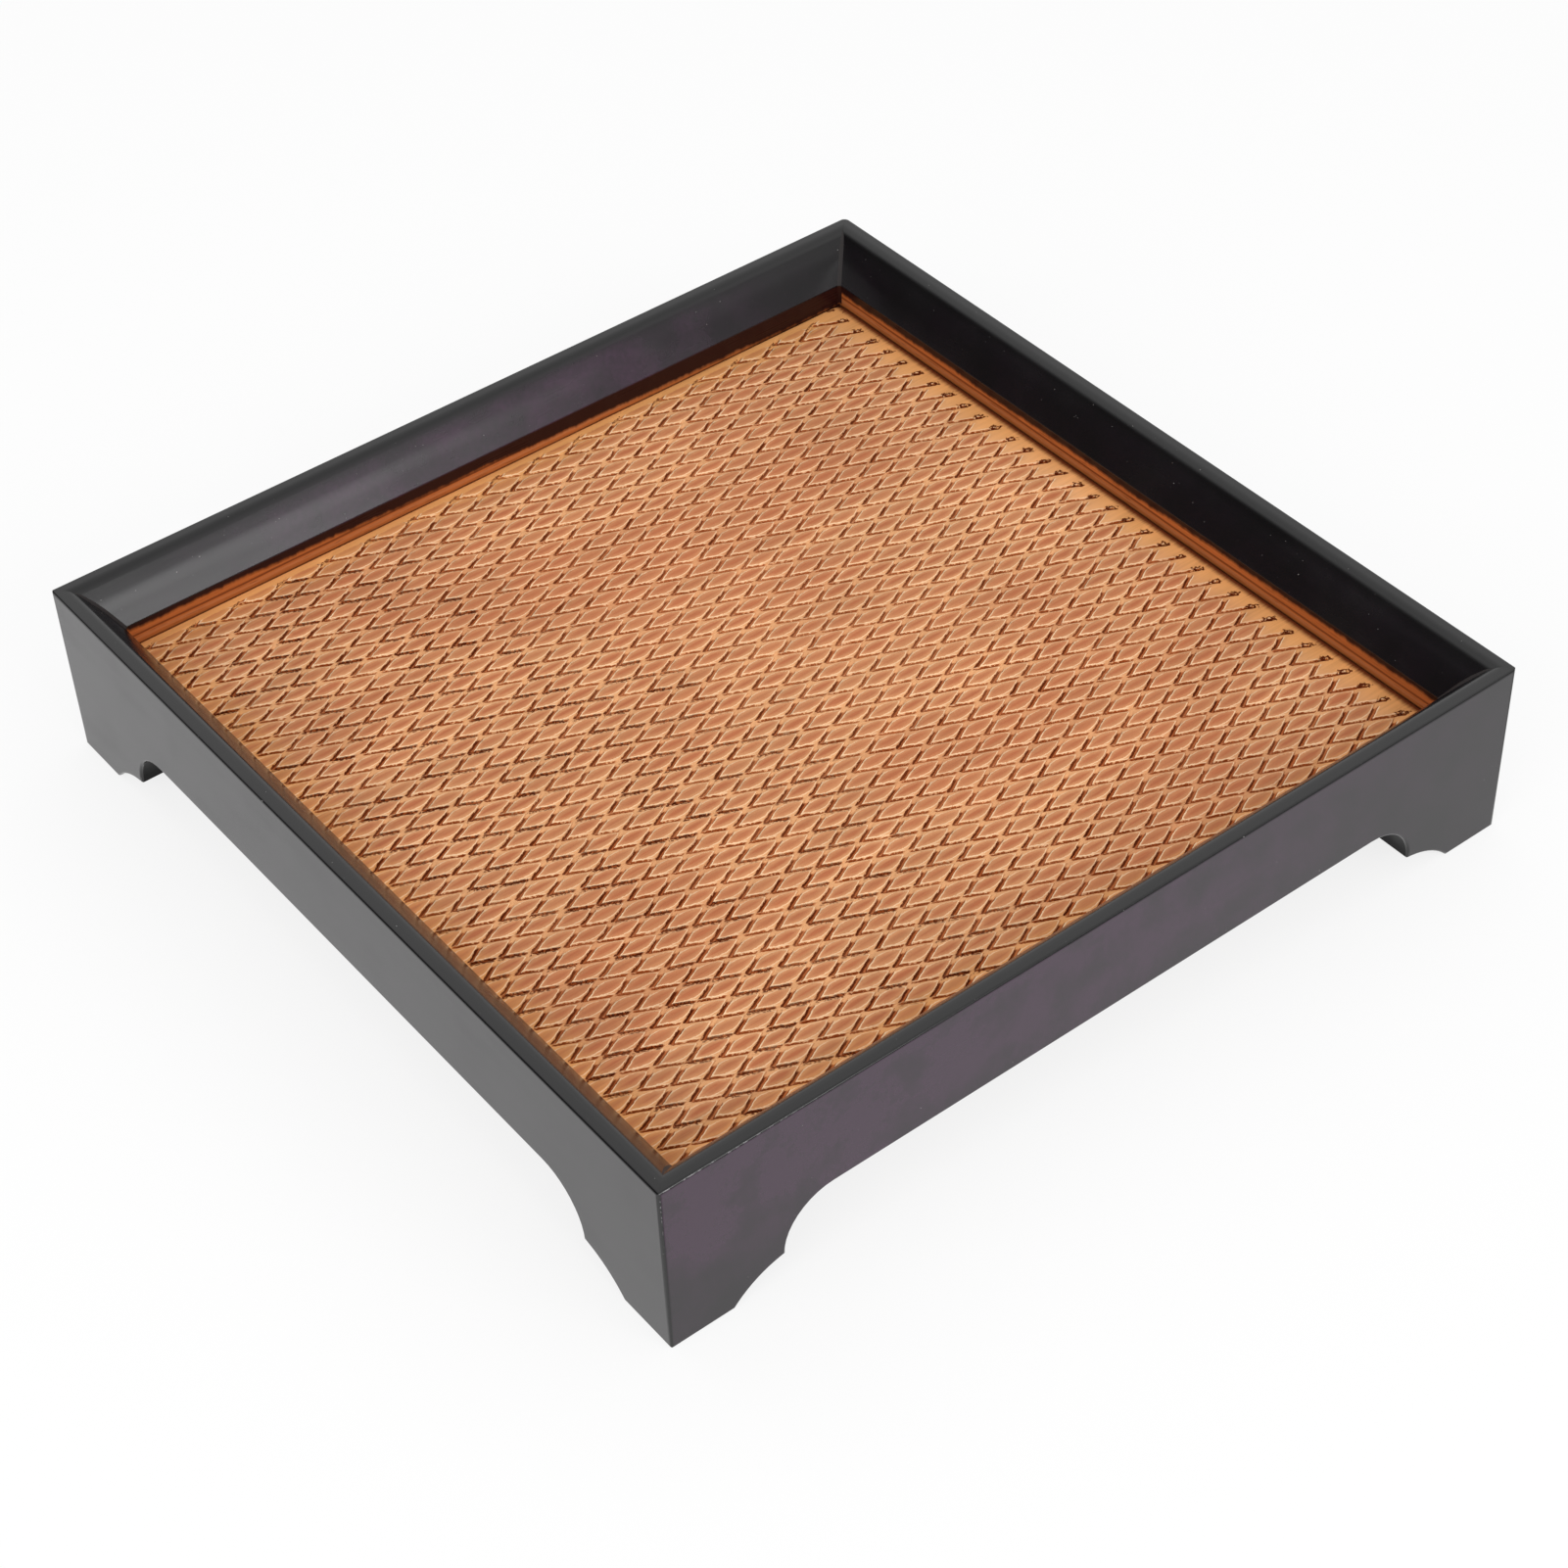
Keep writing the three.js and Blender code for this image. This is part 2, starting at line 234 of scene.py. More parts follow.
class TeaTrayRailSettings(bpy.types.PropertyGroup):
    """Sizes and finishes of the four rails."""

    rim_width: length("Rim width", "Flat top of a rail, from its outer face to the bevel", 4.0)
    bevel_drop: length("Bevel drop", "Height that the inner bevel falls below the rim", 11.0)
    arris_radius: length("Arris radius", "Easing of the outer and lower edges", 0.7)
    bevel_head: length("Bevel head", "Easing between the rim and the inner bevel", 4.0)
    bevel_crown: length("Bevel crown", "Swell of the inner bevel at its middle", 0.5)
    bevel_foot: length("Bevel foot", "Easing at the foot of the inner bevel", 0.7)
    corner_radii: FloatVectorProperty(
        name="Corner radii",
        description="Rounding of the upright corners, from the front left one round to the back left one",
        default=(1.0 * MM, 1.8 * MM, 3.2 * MM, 1.5 * MM),
        size=4,
        min=0.0,
        precision=5,
        unit="LENGTH",
    )
    fillet_width: length("Fillet width", "Lacquer gathered in the inner corners, along each rail", 0.8)
    mitre_gap: length("Mitre gap", "Hairline left between a rail's end and the mitre", 0.005)
    foot_flat: length("Foot flat", "Sole of a bracket foot, along the rail", 17.0)
    cusp_reach: length("Cusp reach", "From the sole's end to the foot's cusp, along the rail", 14.0)
    cusp_height: length("Cusp height", "Height of the foot's cusp above the sole", 7.5)
    cove_depth: length("Cove depth", "Hollow of the curve from the sole to the cusp", 1.4)
    apron_height: length("Apron height", "Height of the apron's lower edge", 21.0)
    groove_low: length("Groove foot", "Height of the lower wall of the board's groove", 25.7)
    groove_high: length("Groove head", "Height of the upper wall of the board's groove", 30.3)
    groove_depth: length("Groove depth", "Depth of the board's groove", 5.0)
    spline_setback: length("Spline setback", "Hidden spline's middle, from both outer faces", 7.5)
    spline_width: length("Spline width", "Hidden spline's width across the mitre", 8.6)
    spline_thickness: length("Spline thickness", "Room for the spline along the mitre", 3.6)
    spline_low: length("Spline foot", "Lower end of the room for the spline", 3.7)
    spline_high: length("Spline head", "Upper end of the room for the spline", 22.0)
    lacquer: colour("Lacquer", "Black lacquer", 0.006, 0.0058, 0.006)
    lacquer_bloom: colour("Lacquer bloom", "Plum cast where the lacquer is thin", 0.04, 0.016, 0.037)
    # Pale colour of the eased edges and the corner beads: lacquer pale from rubbing and a painted highlight.
    worn_lacquer_highlight: colour("Worn lacquer highlight", "Rubbed lacquer along the edges", 0.8, 0.75, 0.8)
    bare_edge: colour("Bare edge", "Varnished wood of the inner edge", 0.46, 0.134, 0.035)
    # Paler colour of a line near the foot of the inner edge.
    pale_edge: colour("Pale edge", "Rubbed line at the foot of the inner edge", 0.52, 0.2, 0.08)
    grain_line: colour("Grain line", "Dark grain of the inner edge", 0.09, 0.02, 0.008)
    # The stain colour also paints the shade at the foot of the bare edge.
    stain: colour("Stain", "Lacquer run down onto the inner edge", 0.025, 0.007, 0.006)


class TeaTrayBoardSettings(bpy.types.PropertyGroup):
    """Sizes and finishes of the carved board."""

    field_gap: length("Field gap", "Gap from the raised field to the rails", 0.5)
    field_corner: length("Field corner", "Corner radius of the raised field", 2.5)
    field_edge: length("Field edge", "Rounding of the raised field's edge", 0.5)
    rebate_depth: length("Rebate depth", "Height of the raised field above the tongue", 3.0)
    diamond_length: length("Diamond length", "Long diagonal of one carved diamond", 13.12)
    diamond_width: length("Diamond width", "Short diagonal of one carved diamond", 6.43)
    lattice_right: length("Lattice right", "How far the lattice lies towards the right", 1.55)
    lattice_front: length("Lattice front", "How far the lattice lies towards the front", 2.7)
    left_border: length("Left border", "Plain strip from the field's left edge to the carving", 1.0)
    right_border: length("Right border", "Plain strip from the field's right edge to the carving", 3.9)
    front_border: length("Front border", "Plain strip from the field's front edge to the carving", 1.0)
    back_border: length("Back border", "Plain strip from the field's back edge to the carving", 2.5)
    slot_depth: length("Slot depth", "Depth of the wide cuts that rise to the right", 0.58)
    nick_depth: length("Nick depth", "Depth of the narrow cuts that fall to the right", 0.55)
    saddle_drop: length("Saddle drop", "Fall of the face towards a diamond's upper and lower tips", 0.16)
    wander: length("Wander", "How far the hand carving strays", 0.42)
    shoulder: colour("Shoulder", "Pale bamboo between the diamond faces", 0.78, 0.39, 0.178)
    face: colour("Face", "Darker, pinker bamboo on the diamond faces", 0.47, 0.152, 0.064)
    # The lip colour is a painted highlight along the lips of the cuts and the rims of the faces.
    lip: colour("Lip", "Rubbed lip along the sides of a diamond", 1.0, 0.7, 0.44)
    # The cut and nick colours darken the cut walls: burnt wood and painted shade inside the cuts.
    cut: colour("Cut", "Burnt wall of a wide cut", 0.1, 0.013, 0.001)
    nick: colour("Nick", "Scorched wall of a narrow cut", 0.22, 0.036, 0.004)
    slot_floor: colour("Slot floor", "Warm ground of the cuts under their burnt walls", 0.44, 0.1, 0.02)
    border: colour("Border", "Plain yellow border", 0.8, 0.36, 0.112)
    # The edge colour is stain and painted shade along the field's outline and right-hand edge, and painted
    # shade down its side and over the rebate.
    edge: colour("Edge", "Stained edge of the field", 0.13, 0.03, 0.01)


class TeaTrayStageSettings(bpy.types.PropertyGroup):
    """Camera, floor and light."""

    camera_place: position("Camera place", "Where the camera stands", -0.3631, -0.4966, 0.5694)
    camera_aim: position("Camera aim", "Point that the camera looks at", -0.0114, -0.0197, 0.02)
    camera_roll: FloatProperty(
        name="Camera roll",
        description="Turn of the camera about its own line of sight",
        default=math.radians(-2.53),
        subtype="ANGLE",
        unit="ROTATION",
    )
    camera_lens: FloatProperty(
        name="Camera lens", description="Focal length in millimetres", default=77.3, min=1.0
    )
    floor: colour("Floor", "Pale floor", 0.94, 0.94, 0.94)
    floor_glow: amount("Floor glow", "Share of plain white in the floor that the camera sees", 0.82)
    sky_low: amount("Low sky", "Light of the sky near the horizon", 0.38)
    sky_high: amount("High sky", "Light of the sky overhead", 1.04)
    backdrop: amount("Backdrop", "Light that a pale backdrop adds behind the tray", 0.5)
    front_power: amount("Front power", "Watts of the soft box in front of the tray", 6.0)
    left_power: amount("Left power", "Watts of the soft box to the left of the tray", 6.5)


class Wiring:
    """Adds nodes to one tree. An input takes a value or another node's output."""

    def __init__(self, tree):
        self.tree = tree

    def feed(self, socket, value):
        """Links an output to a socket, or sets the socket to a plain value."""
        if isinstance(value, bpy.types.NodeSocket):
            self.tree.links.new(value, socket)
        else:
            socket.default_value = value

    def node(self, kind, inputs=None, **options):
        """Adds a node, sets its options, then fills its inputs by name or number."""
        made = self.tree.nodes.new(kind)
        for option, value in options.items():
            setattr(made, option, value)
        for key, value in (inputs or {}).items():
            self.feed(made.inputs[key], value)
        return made

    def math(self, operation, first, second=0.0):
        return self.node("ShaderNodeMath", {0: first, 1: second}, operation=operation).outputs[0]

    def fold(self, operation, values):
        """Takes one kind of math node through a row of values."""
        return reduce(partial(self.math, operation), values)

    def add(self, *values):
        return self.fold("ADD", values)

    def times(self, *values):
        return self.fold("MULTIPLY", values)

    def most(self, *values):
        return self.fold("MAXIMUM", values)

    def least(self, *values):
        return self.fold("MINIMUM", values)

    def minus(self, first, second):
        return self.math("SUBTRACT", first, second)

    def over(self, first, second):
        return self.math("DIVIDE", first, second)

    def size(self, value):
        return self.math("ABSOLUTE", value)

    def inverse(self, value):
        return self.minus(1.0, value)

    def weigh(self, start, *parts):
        """A start value plus parts, each a value and its weight."""
        return self.add(start, *(self.times(value, weight) for value, weight in parts))

    def sway(self, value, reach):
        """A noise value as a swing about 0."""
        return self.times(self.minus(value, 0.5), reach)

    def span(self, value, start, end, low=0.0, high=1.0, soft=True):
        """Carries a value from the range start to end over to the range low to high, clamped."""
        ranges = {"Value": value, "From Min": start, "From Max": end, "To Min": low, "To Max": high}
        shape = "SMOOTHSTEP" if soft else "LINEAR"
        return self.node("ShaderNodeMapRange", ranges, interpolation_type=shape).outputs["Result"]

    def fall(self, value, start, end):
        """A mask that falls from 1 to 0."""
        return self.span(value, start, end, 1.0, 0.0)

    def band(self, value, start, full, fade, end):
        """A mask that rises from start to full and falls from fade to end."""
        return self.times(self.span(value, start, full), self.fall(value, fade, end))

    def vector(self, operation, first, second=(0.0, 0.0, 0.0), output="Vector"):
        made = self.node("ShaderNodeVectorMath", {0: first, 1: second}, operation=operation)
        return made.outputs[output]

    def swing(self, noise, reach):
        """A noise colour as a swing about 0, with a reach each way."""
        return self.vector("MULTIPLY", self.vector("SUBTRACT", noise, (0.5, 0.5, 0.5)), reach)

    def distance(self, vector):
        return self.vector("LENGTH", vector, output="Value")

    def split(self, vector):
        return self.node("ShaderNodeSeparateXYZ", {0: vector}).outputs

    def join(self, x, y, z):
        return self.node("ShaderNodeCombineXYZ", {0: x, 1: y, 2: z}).outputs[0]

    def noise(self, vector, scale, detail=2.0, output="Fac"):
        inputs = {"Vector": vector, "Scale": scale, "Detail": detail}
        return self.node("ShaderNodeTexNoise", inputs).outputs[output]

    def streaks(self, place, along, across, detail):
        """Noise drawn out along X, with its own scale along and across it."""
        return self.noise(self.vector("MULTIPLY", place, (along, across, across)), 1.0, detail)

    def chance(self, vector, output="Value"):
        """Random values that hang on the vector alone."""
        return self.node("ShaderNodeTexWhiteNoise", {"Vector": vector}).outputs[output]

    def mix(self, share, first, second):
        """Mixes two colours."""
        inputs = {0: share, 6: first, 7: second}
        return self.node("ShaderNodeMix", inputs, data_type="RGBA").outputs[2]

    def tint(self, base, level):
        """Makes a colour lighter or darker by a level about 1."""
        grey = self.node("ShaderNodeCombineColor", {0: level, 1: level, 2: level}).outputs[0]
        inputs = {0: 1.0, 6: base, 7: grey}
        return self.node("ShaderNodeMix", inputs, data_type="RGBA", blend_type="MULTIPLY").outputs[2]

    def attribute(self, name):
        return self.node("ShaderNodeAttribute", attribute_name=name).outputs["Vector"]

    def coordinates(self, kind):
        return self.node("ShaderNodeTexCoord").outputs[kind]


def effect(wires, values, place, seed=0.0):
    """Places the shared node group of an effect, which is named for the function that wires its values."""
    name = values.__name__.replace("_", " ").capitalize()
    tree = bpy.data.node_groups.get(name) or effect_tree(name, values)
    return wires.node("ShaderNodeGroup", {"Place": place, "Seed": seed}, node_tree=tree).outputs


def effect_tree(name, values):
    """Builds a shader node group that makes named values from a place in metres and a seed."""
    tree = bpy.data.node_groups.new(name, "ShaderNodeTree")
    for label, kind in (("Place", "NodeSocketVector"), ("Seed", "NodeSocketFloat")):
        tree.interface.new_socket(name=label, in_out="INPUT", socket_type=kind)
    wires = Wiring(tree)
    given = wires.node("NodeGroupInput").outputs
    made = values(wires, given["Place"], given["Seed"])
    for label in made:
        tree.interface.new_socket(name=label, in_out="OUTPUT", socket_type="NodeSocketFloat")
    wires.node("NodeGroupOutput", made)
    return tree


def wood_grain(wires, place, seed):
    """Streaks, fibres and pores that run along X."""
    shifted = wires.vector("ADD", place, wires.join(seed, seed, 0.0))
    return {
        "Streak": wires.span(wires.streaks(shifted, 9.0, 210.0, 4.0), 0.3, 0.7),
        "Fibre": wires.streaks(shifted, 60.0, 2400.0, 3.0),
        "Pore": wires.span(wires.streaks(shifted, 150.0, 3300.0, 1.0), 0.62, 0.74),
    }


def handling_marks(wires, place, seed):
    """Rubbed patches, dust specks and a faint ripple of the finish."""
    shifted = wires.vector("ADD", place, wires.join(0.0, seed, seed))
    return {
        "Rub": wires.span(wires.noise(shifted, 55.0, 5.0), 0.42, 0.68),
        "Dust": wires.span(wires.noise(shifted, 1500.0, 1.0), 0.785, 0.825),
        "Ripple": wires.noise(shifted, 420.0, 2.0),
    }


def principled_material(name):
    """A new material with its wiring and its Principled BSDF."""
    material = bpy.data.materials.new(name)
    material.use_nodes = True
    material.node_tree.nodes.clear()
    wires = Wiring(material.node_tree)
    shader = wires.node("ShaderNodeBsdfPrincipled")
    wires.node("ShaderNodeOutputMaterial", {"Surface": shader.outputs[0]})
    return material, wires, shader


def dress(wires, shader, base, roughness, height, depth, ior=1.5, specular=0.5):
    """Wires a colour, a roughness and a relief of a depth in metres into a shader, and sets its gloss."""
    bump = wires.node("ShaderNodeBump", {"Strength": 1.0, "Distance": depth, "Height": height})
    wires.feed(shader.inputs["Base Color"], base)
    wires.feed(shader.inputs["Roughness"], roughness)
    wires.feed(shader.inputs["Normal"], bump.outputs[0])
    shader.inputs["IOR"].default_value = ior
    shader.inputs["Specular IOR Level"].default_value = specular


def lacquer_material(settings, name, specular, dulled):
    """Black lacquer over wood: faint grain, plum cast, edges rubbed and painted with a highlight, and dust.
    """
    material, wires, shader = principled_material(name)
    place = wires.attribute("rail_place")
    wear, _stain, thinness = wires.split(wires.attribute("rail_finish"))
    _along, depth, height = wires.split(place)
    grain = effect(wires, wood_grain, place)
    marks = effect(wires, handling_marks, place)
    outer = wires.fall(depth, 0.0, 0.12 * MM)
    bevelled = wires.span(depth, settings.rim_width, settings.rim_width + 3 * MM)
    upper = wires.span(height, 8 * MM, 34 * MM, 0.15, 1.0)
    cloud = wires.span(wires.noise(place, 75.0, 3.0), 0.32, 0.66, 0.45, 1.2)
    mottle = wires.span(wires.noise(place, 650.0, 2.0), 0.3, 0.7, 0.8, 1.2)
    thin = wires.add(wires.times(wires.band(thinness, *PLUM_BAND), upper), 0.1)
    plum = wires.times(thin, cloud, mottle, wires.most(outer, wires.times(bevelled, 0.7)))
    base = wires.mix(plum, settings.lacquer, settings.lacquer_bloom)
    # Pale edges and corner beads: lacquer pale from rubbing and a painted highlight.
    worn_and_highlit = wires.times(
        wires.span(wear, 0.5, 1.0),
        wires.most(wires.span(mottle, 1.0, 1.18), wires.span(wear, 1.0, 2.0)),
        wires.band(thinness, *RUB_AND_HIGHLIGHT_BAND),
        wires.span(wear, 1.0, 2.0, 0.35, 1.0),
    )
    base = wires.mix(worn_and_highlit, base, settings.worn_lacquer_highlight)
    base = wires.mix(wires.times(marks["Dust"], 0.6), base, DUST)
    roughness = wires.weigh(
        0.16 + dulled, (grain["Streak"], 0.04), (marks["Rub"], 0.05), (worn_and_highlit, 0.2), (bevelled, 0.05)
    )
    orange_peel = wires.noise(place, 2600.0, 1.0)
    relief = wires.weigh(
        0.0, (grain["Streak"], 0.4), (grain["Fibre"], 0.1), (marks["Ripple"], 0.1), (orange_peel, 0.15)
    )
    dress(wires, shader, base, roughness, relief, 0.012 * MM, specular=specular)
    return material


def bare_edge_material(settings):
    """Varnished amber edge above the board, with black lacquer run down from the bevel."""
    material, wires, shader = principled_material("amber_edge")
    place = wires.attribute("rail_place")
    _wear_and_highlight, stain, _thinness = wires.split(wires.attribute("rail_finish"))
    along, depth, height = wires.split(place)
    grain = effect(wires, wood_grain, place)
    marks = effect(wires, handling_marks, place)
    drift = wires.noise(wires.join(along, depth, 0.0), 40.0, 2.0)
    serrated = wires.noise(wires.join(along, depth, wires.times(height, 0.1)), 700.0, 3.0)
    drop = wires.span(height, TRAY_HEIGHT - settings.bevel_drop, BOARD_TOP, soft=False)
    strayed = wires.add(drop, wires.sway(serrated, 0.2), wires.sway(drift, 0.35))
    run = wires.span(wires.minus(stain, strayed), -0.16, 0.08)
    level = wires.weigh(0.72, (grain["Streak"], 0.35), (grain["Fibre"], 0.3))
    amber = wires.tint(settings.bare_edge, level)
    swayed = wires.add(height, wires.sway(drift, 0.6 * MM))
    above = wires.over(wires.minus(swayed, BOARD_TOP), MM)
    amber = wires.mix(wires.times(wires.band(above, *PALE_LINE), 0.6), amber, settings.pale_edge)
    seam = wires.times(wires.band(above, *SEAM_LINE), 0.7)
    amber = wires.mix(wires.most(wires.times(grain["Pore"], 0.5), seam), amber, settings.grain_line)
    # Painted shade at the foot of the bare edge, where it meets the board, in the stain colour.
    foot_shade = wires.span(height, BOARD_TOP - 0.8 * MM, BOARD_TOP, 0.8, 0.0)
    amber = wires.mix(foot_shade, amber, settings.stain)
    base = wires.mix(run, amber, settings.stain)
    roughness = wires.weigh(0.22, (grain["Fibre"], 0.12), (marks["Rub"], 0.08))
    relief = wires.weigh(0.0, (grain["Fibre"], 0.6), (grain["Streak"], 0.4))
    dress(wires, shader, base, roughness, relief, 0.03 * MM, specular=0.15)
    return material


def off_line(wires, value):
    """Distance from the nearest line of cuts, below it negative, as a share of a diamond's side."""
    return wires.minus(value, wires.math("ROUND", value))


def column_and_row(wires, ahead, across):
    """Place in diamonds from the lattice's middle, from the places along the two families of cuts."""
    return wires.times(wires.minus(ahead, across), 0.5), wires.times(wires.add(ahead, across), 0.5)


def stroke_chance(wires, line, along, family):
    """Three random shares of one cut, known by its line, its place on it and its family."""
    stroke = wires.join(wires.math("ROUND", line), wires.math("FLOOR", along), family)
    return wires.split(wires.chance(stroke, "Color"))


def stroke_reach(wires, chance, along, stroke, stray, least):
    """How deep a cut is between its lower node and its upper node, as a share."""
    strayed = wires.minus(wires.math("FRACT", along), wires.sway(chance[0], stray))
    return wires.times(wires.band(strayed, *stroke), wires.span(chance[1], 0.0, 1.0, least, 1.0))


def slot_reach(wires, ahead, across):
    """How deep a slot is along its length."""
    chance = stroke_chance(wires, across, ahead, SLOT_FAMILY)
    return stroke_reach(wires, chance, ahead, SLOT_STROKE, SLOT_STRAY, SLOT_LEAST)


def nick_reach(wires, ahead, across, area):
    """How deep a nick is along its length. The last ones run on to the right-hand end of the carving."""
    chance = stroke_chance(wires, ahead, across, NICK_FAMILY)
    depth = stroke_reach(wires, chance, across, NICK_STROKE, NICK_STRAY, NICK_LEAST)
    column, _row = column_and_row(wires, ahead, across)
    return wires.most(depth, wires.fall(wires.minus(area[1], column), 0.2, 0.3))


def whole_diamond(wires, ahead, across, area):
    """1 over the diamonds that lie clear of the right-hand end of the carving, and 0 past them."""
    column, _row = column_and_row(wires, wires.math("FLOOR", ahead), wires.math("FLOOR", across))
    return wires.math("LESS_THAN", wires.add(column, FACE_SHORT), area[1])


def carved_area(settings):
    """Ends of the carving, in diamonds from the lattice's middle: left, right, front and back."""
    half_width = TRAY_WIDTH / 2 - RAIL_THICKNESS - settings.field_gap
    half_depth = TRAY_DEPTH / 2 - RAIL_THICKNESS - settings.field_gap
    return (
        (settings.left_border - half_width - settings.lattice_right) / settings.diamond_length,
        (half_width - settings.right_border - settings.lattice_right) / settings.diamond_length,
        (settings.front_border - half_depth + settings.lattice_front) / settings.diamond_width,
        (half_depth - settings.back_border + settings.lattice_front) / settings.diamond_width,
    )


def within_carving(wires, ahead, across, area, short=0.0):
    """1 over the carving and 0 over the plain border, stopped short of its right-hand end if asked."""
    left, right, front, back = area
    column, row = column_and_row(wires, ahead, across)
    return wires.times(
        wires.math("GREATER_THAN", column, left),
        wires.math("LESS_THAN", wires.add(column, short), right),
        wires.math("GREATER_THAN", row, front),
        wires.math("LESS_THAN", row, back),
    )


def leaf_shape(wires, ahead, across):
    """A diamond's leaf-shaped face: 0 along its midrib and 1 on its outline, with its long and short way."""
    side = wires.over(wires.minus(wires.math("FRACT", ahead), LEAF_MIDDLE[0]), LEAF_LENGTHS[0])
    other = wires.over(wires.minus(wires.math("FRACT", across), LEAF_MIDDLE[1]), LEAF_LENGTHS[1])
    long_way = wires.minus(side, other)
    short_way = wires.add(side, other)
    spread = wires.over(wires.size(short_way), LEAF_WIDTH)
    return wires.add(spread, wires.times(long_way, long_way)), long_way, short_way


def carving_masks(wires, ahead, across, area):
    """Masks of a diamond: cut walls in painted shade, warm ground, painted lip highlights, the leaf face."""
    inside = within_carving(wires, ahead, across, area)
    whole = wires.times(whole_diamond(wires, ahead, across, area), inside)
    slot_off = off_line(wires, across)
    nick_off = off_line(wires, ahead)
    slot = wires.times(
        slot_reach(wires, ahead, across), within_carving(wires, ahead, across, area, SLOT_SHORT)
    )
    nick = wires.times(nick_reach(wires, ahead, across, area), inside)
    # Dark cut walls: burnt colour and painted shade inside the cuts.
    slot_wall_shade = wires.most(
        wires.band(slot_off, *SLOT_WALL_SHADE), wires.times(wires.band(slot_off, *SLOT_FAR_WALL_SHADE), 0.8)
    )
    nick_wall_shade = wires.times(wires.band(nick_off, *NICK_WALL_SHADE), nick)
    leaf, long_way, short_way = leaf_shape(wires, ahead, across)
    # Painted highlight on the face's rim, varying round the rim with how light falls on its sides.
    rub_and_highlight = wires.span(wires.least(long_way, short_way), 0.0, 0.35, 0.85, 0.4)
    flush = wires.weigh(0.0, (wires.fall(leaf, 0.05, 0.95), 0.6), (wires.fall(leaf, 0.84, 1.0), 0.45))
    return {
        "slot": wires.times(slot_wall_shade, slot),
        "nick": nick_wall_shade,
        "ground": wires.most(wires.times(wires.band(slot_off, *SLOT_GROUND), slot), nick_wall_shade),
        "lip": wires.most(
            wires.times(wires.band(slot_off, *SLOT_LIP_HIGHLIGHT), slot),
            wires.times(wires.band(nick_off, *NICK_LIP_HIGHLIGHT), nick, 0.75),
        ),
        "rim": wires.times(wires.band(leaf, *LEAF_RIM_HIGHLIGHT), rub_and_highlight, whole),
        "face": wires.times(flush, whole),
        "raised": wires.times(wires.fall(leaf, 0.8, 1.2), whole),
    }


def border_tips(wires, ahead, across, settings, grit):
    """Dark bruises where the nicks end at the right-hand border and the slots at the back."""
    _left, right, _front, back = carved_area(settings)
    column, row = column_and_row(wires, ahead, across)
    long_side = settings.diamond_length / MM
    short_side = settings.diamond_width / MM

    def bruise(past, aside, long, wide):
        """A ring-shaped mark about a cut's end, from its place past the end and aside of it in mm."""
        spread = wires.join(wires.over(past, long), wires.over(aside, wide), 0.0)
        return wires.band(wires.add(wires.distance(spread), wires.sway(grit, 2.2)), *BRUISE_RING)

    at_right = bruise(
        wires.add(wires.times(wires.minus(column, right), long_side), 0.2),
        wires.minus(wires.times(off_line(wires, ahead), short_side), 0.2),
        long=1.4,
        wide=1.0,
    )
    at_back = bruise(
        wires.add(wires.times(wires.minus(row, back), short_side), 0.4),
        wires.times(off_line(wires, across), long_side),
        long=0.7,
        wide=0.8,
    )
    return wires.most(at_right, wires.times(at_back, 0.8))


def torn_nicks(wires, ahead, across, area, grit):
    """Specks of torn fibre along about half of the nicks."""
    chance = stroke_chance(wires, ahead, across, NICK_FAMILY)[2]
    return wires.times(
        wires.band(off_line(wires, ahead), *NICK_TORN),
        nick_reach(wires, ahead, across, area),
        within_carving(wires, ahead, across, area),
        wires.span(grit, 0.44, 0.54),
        wires.span(chance, 0.45, 0.55),
    )


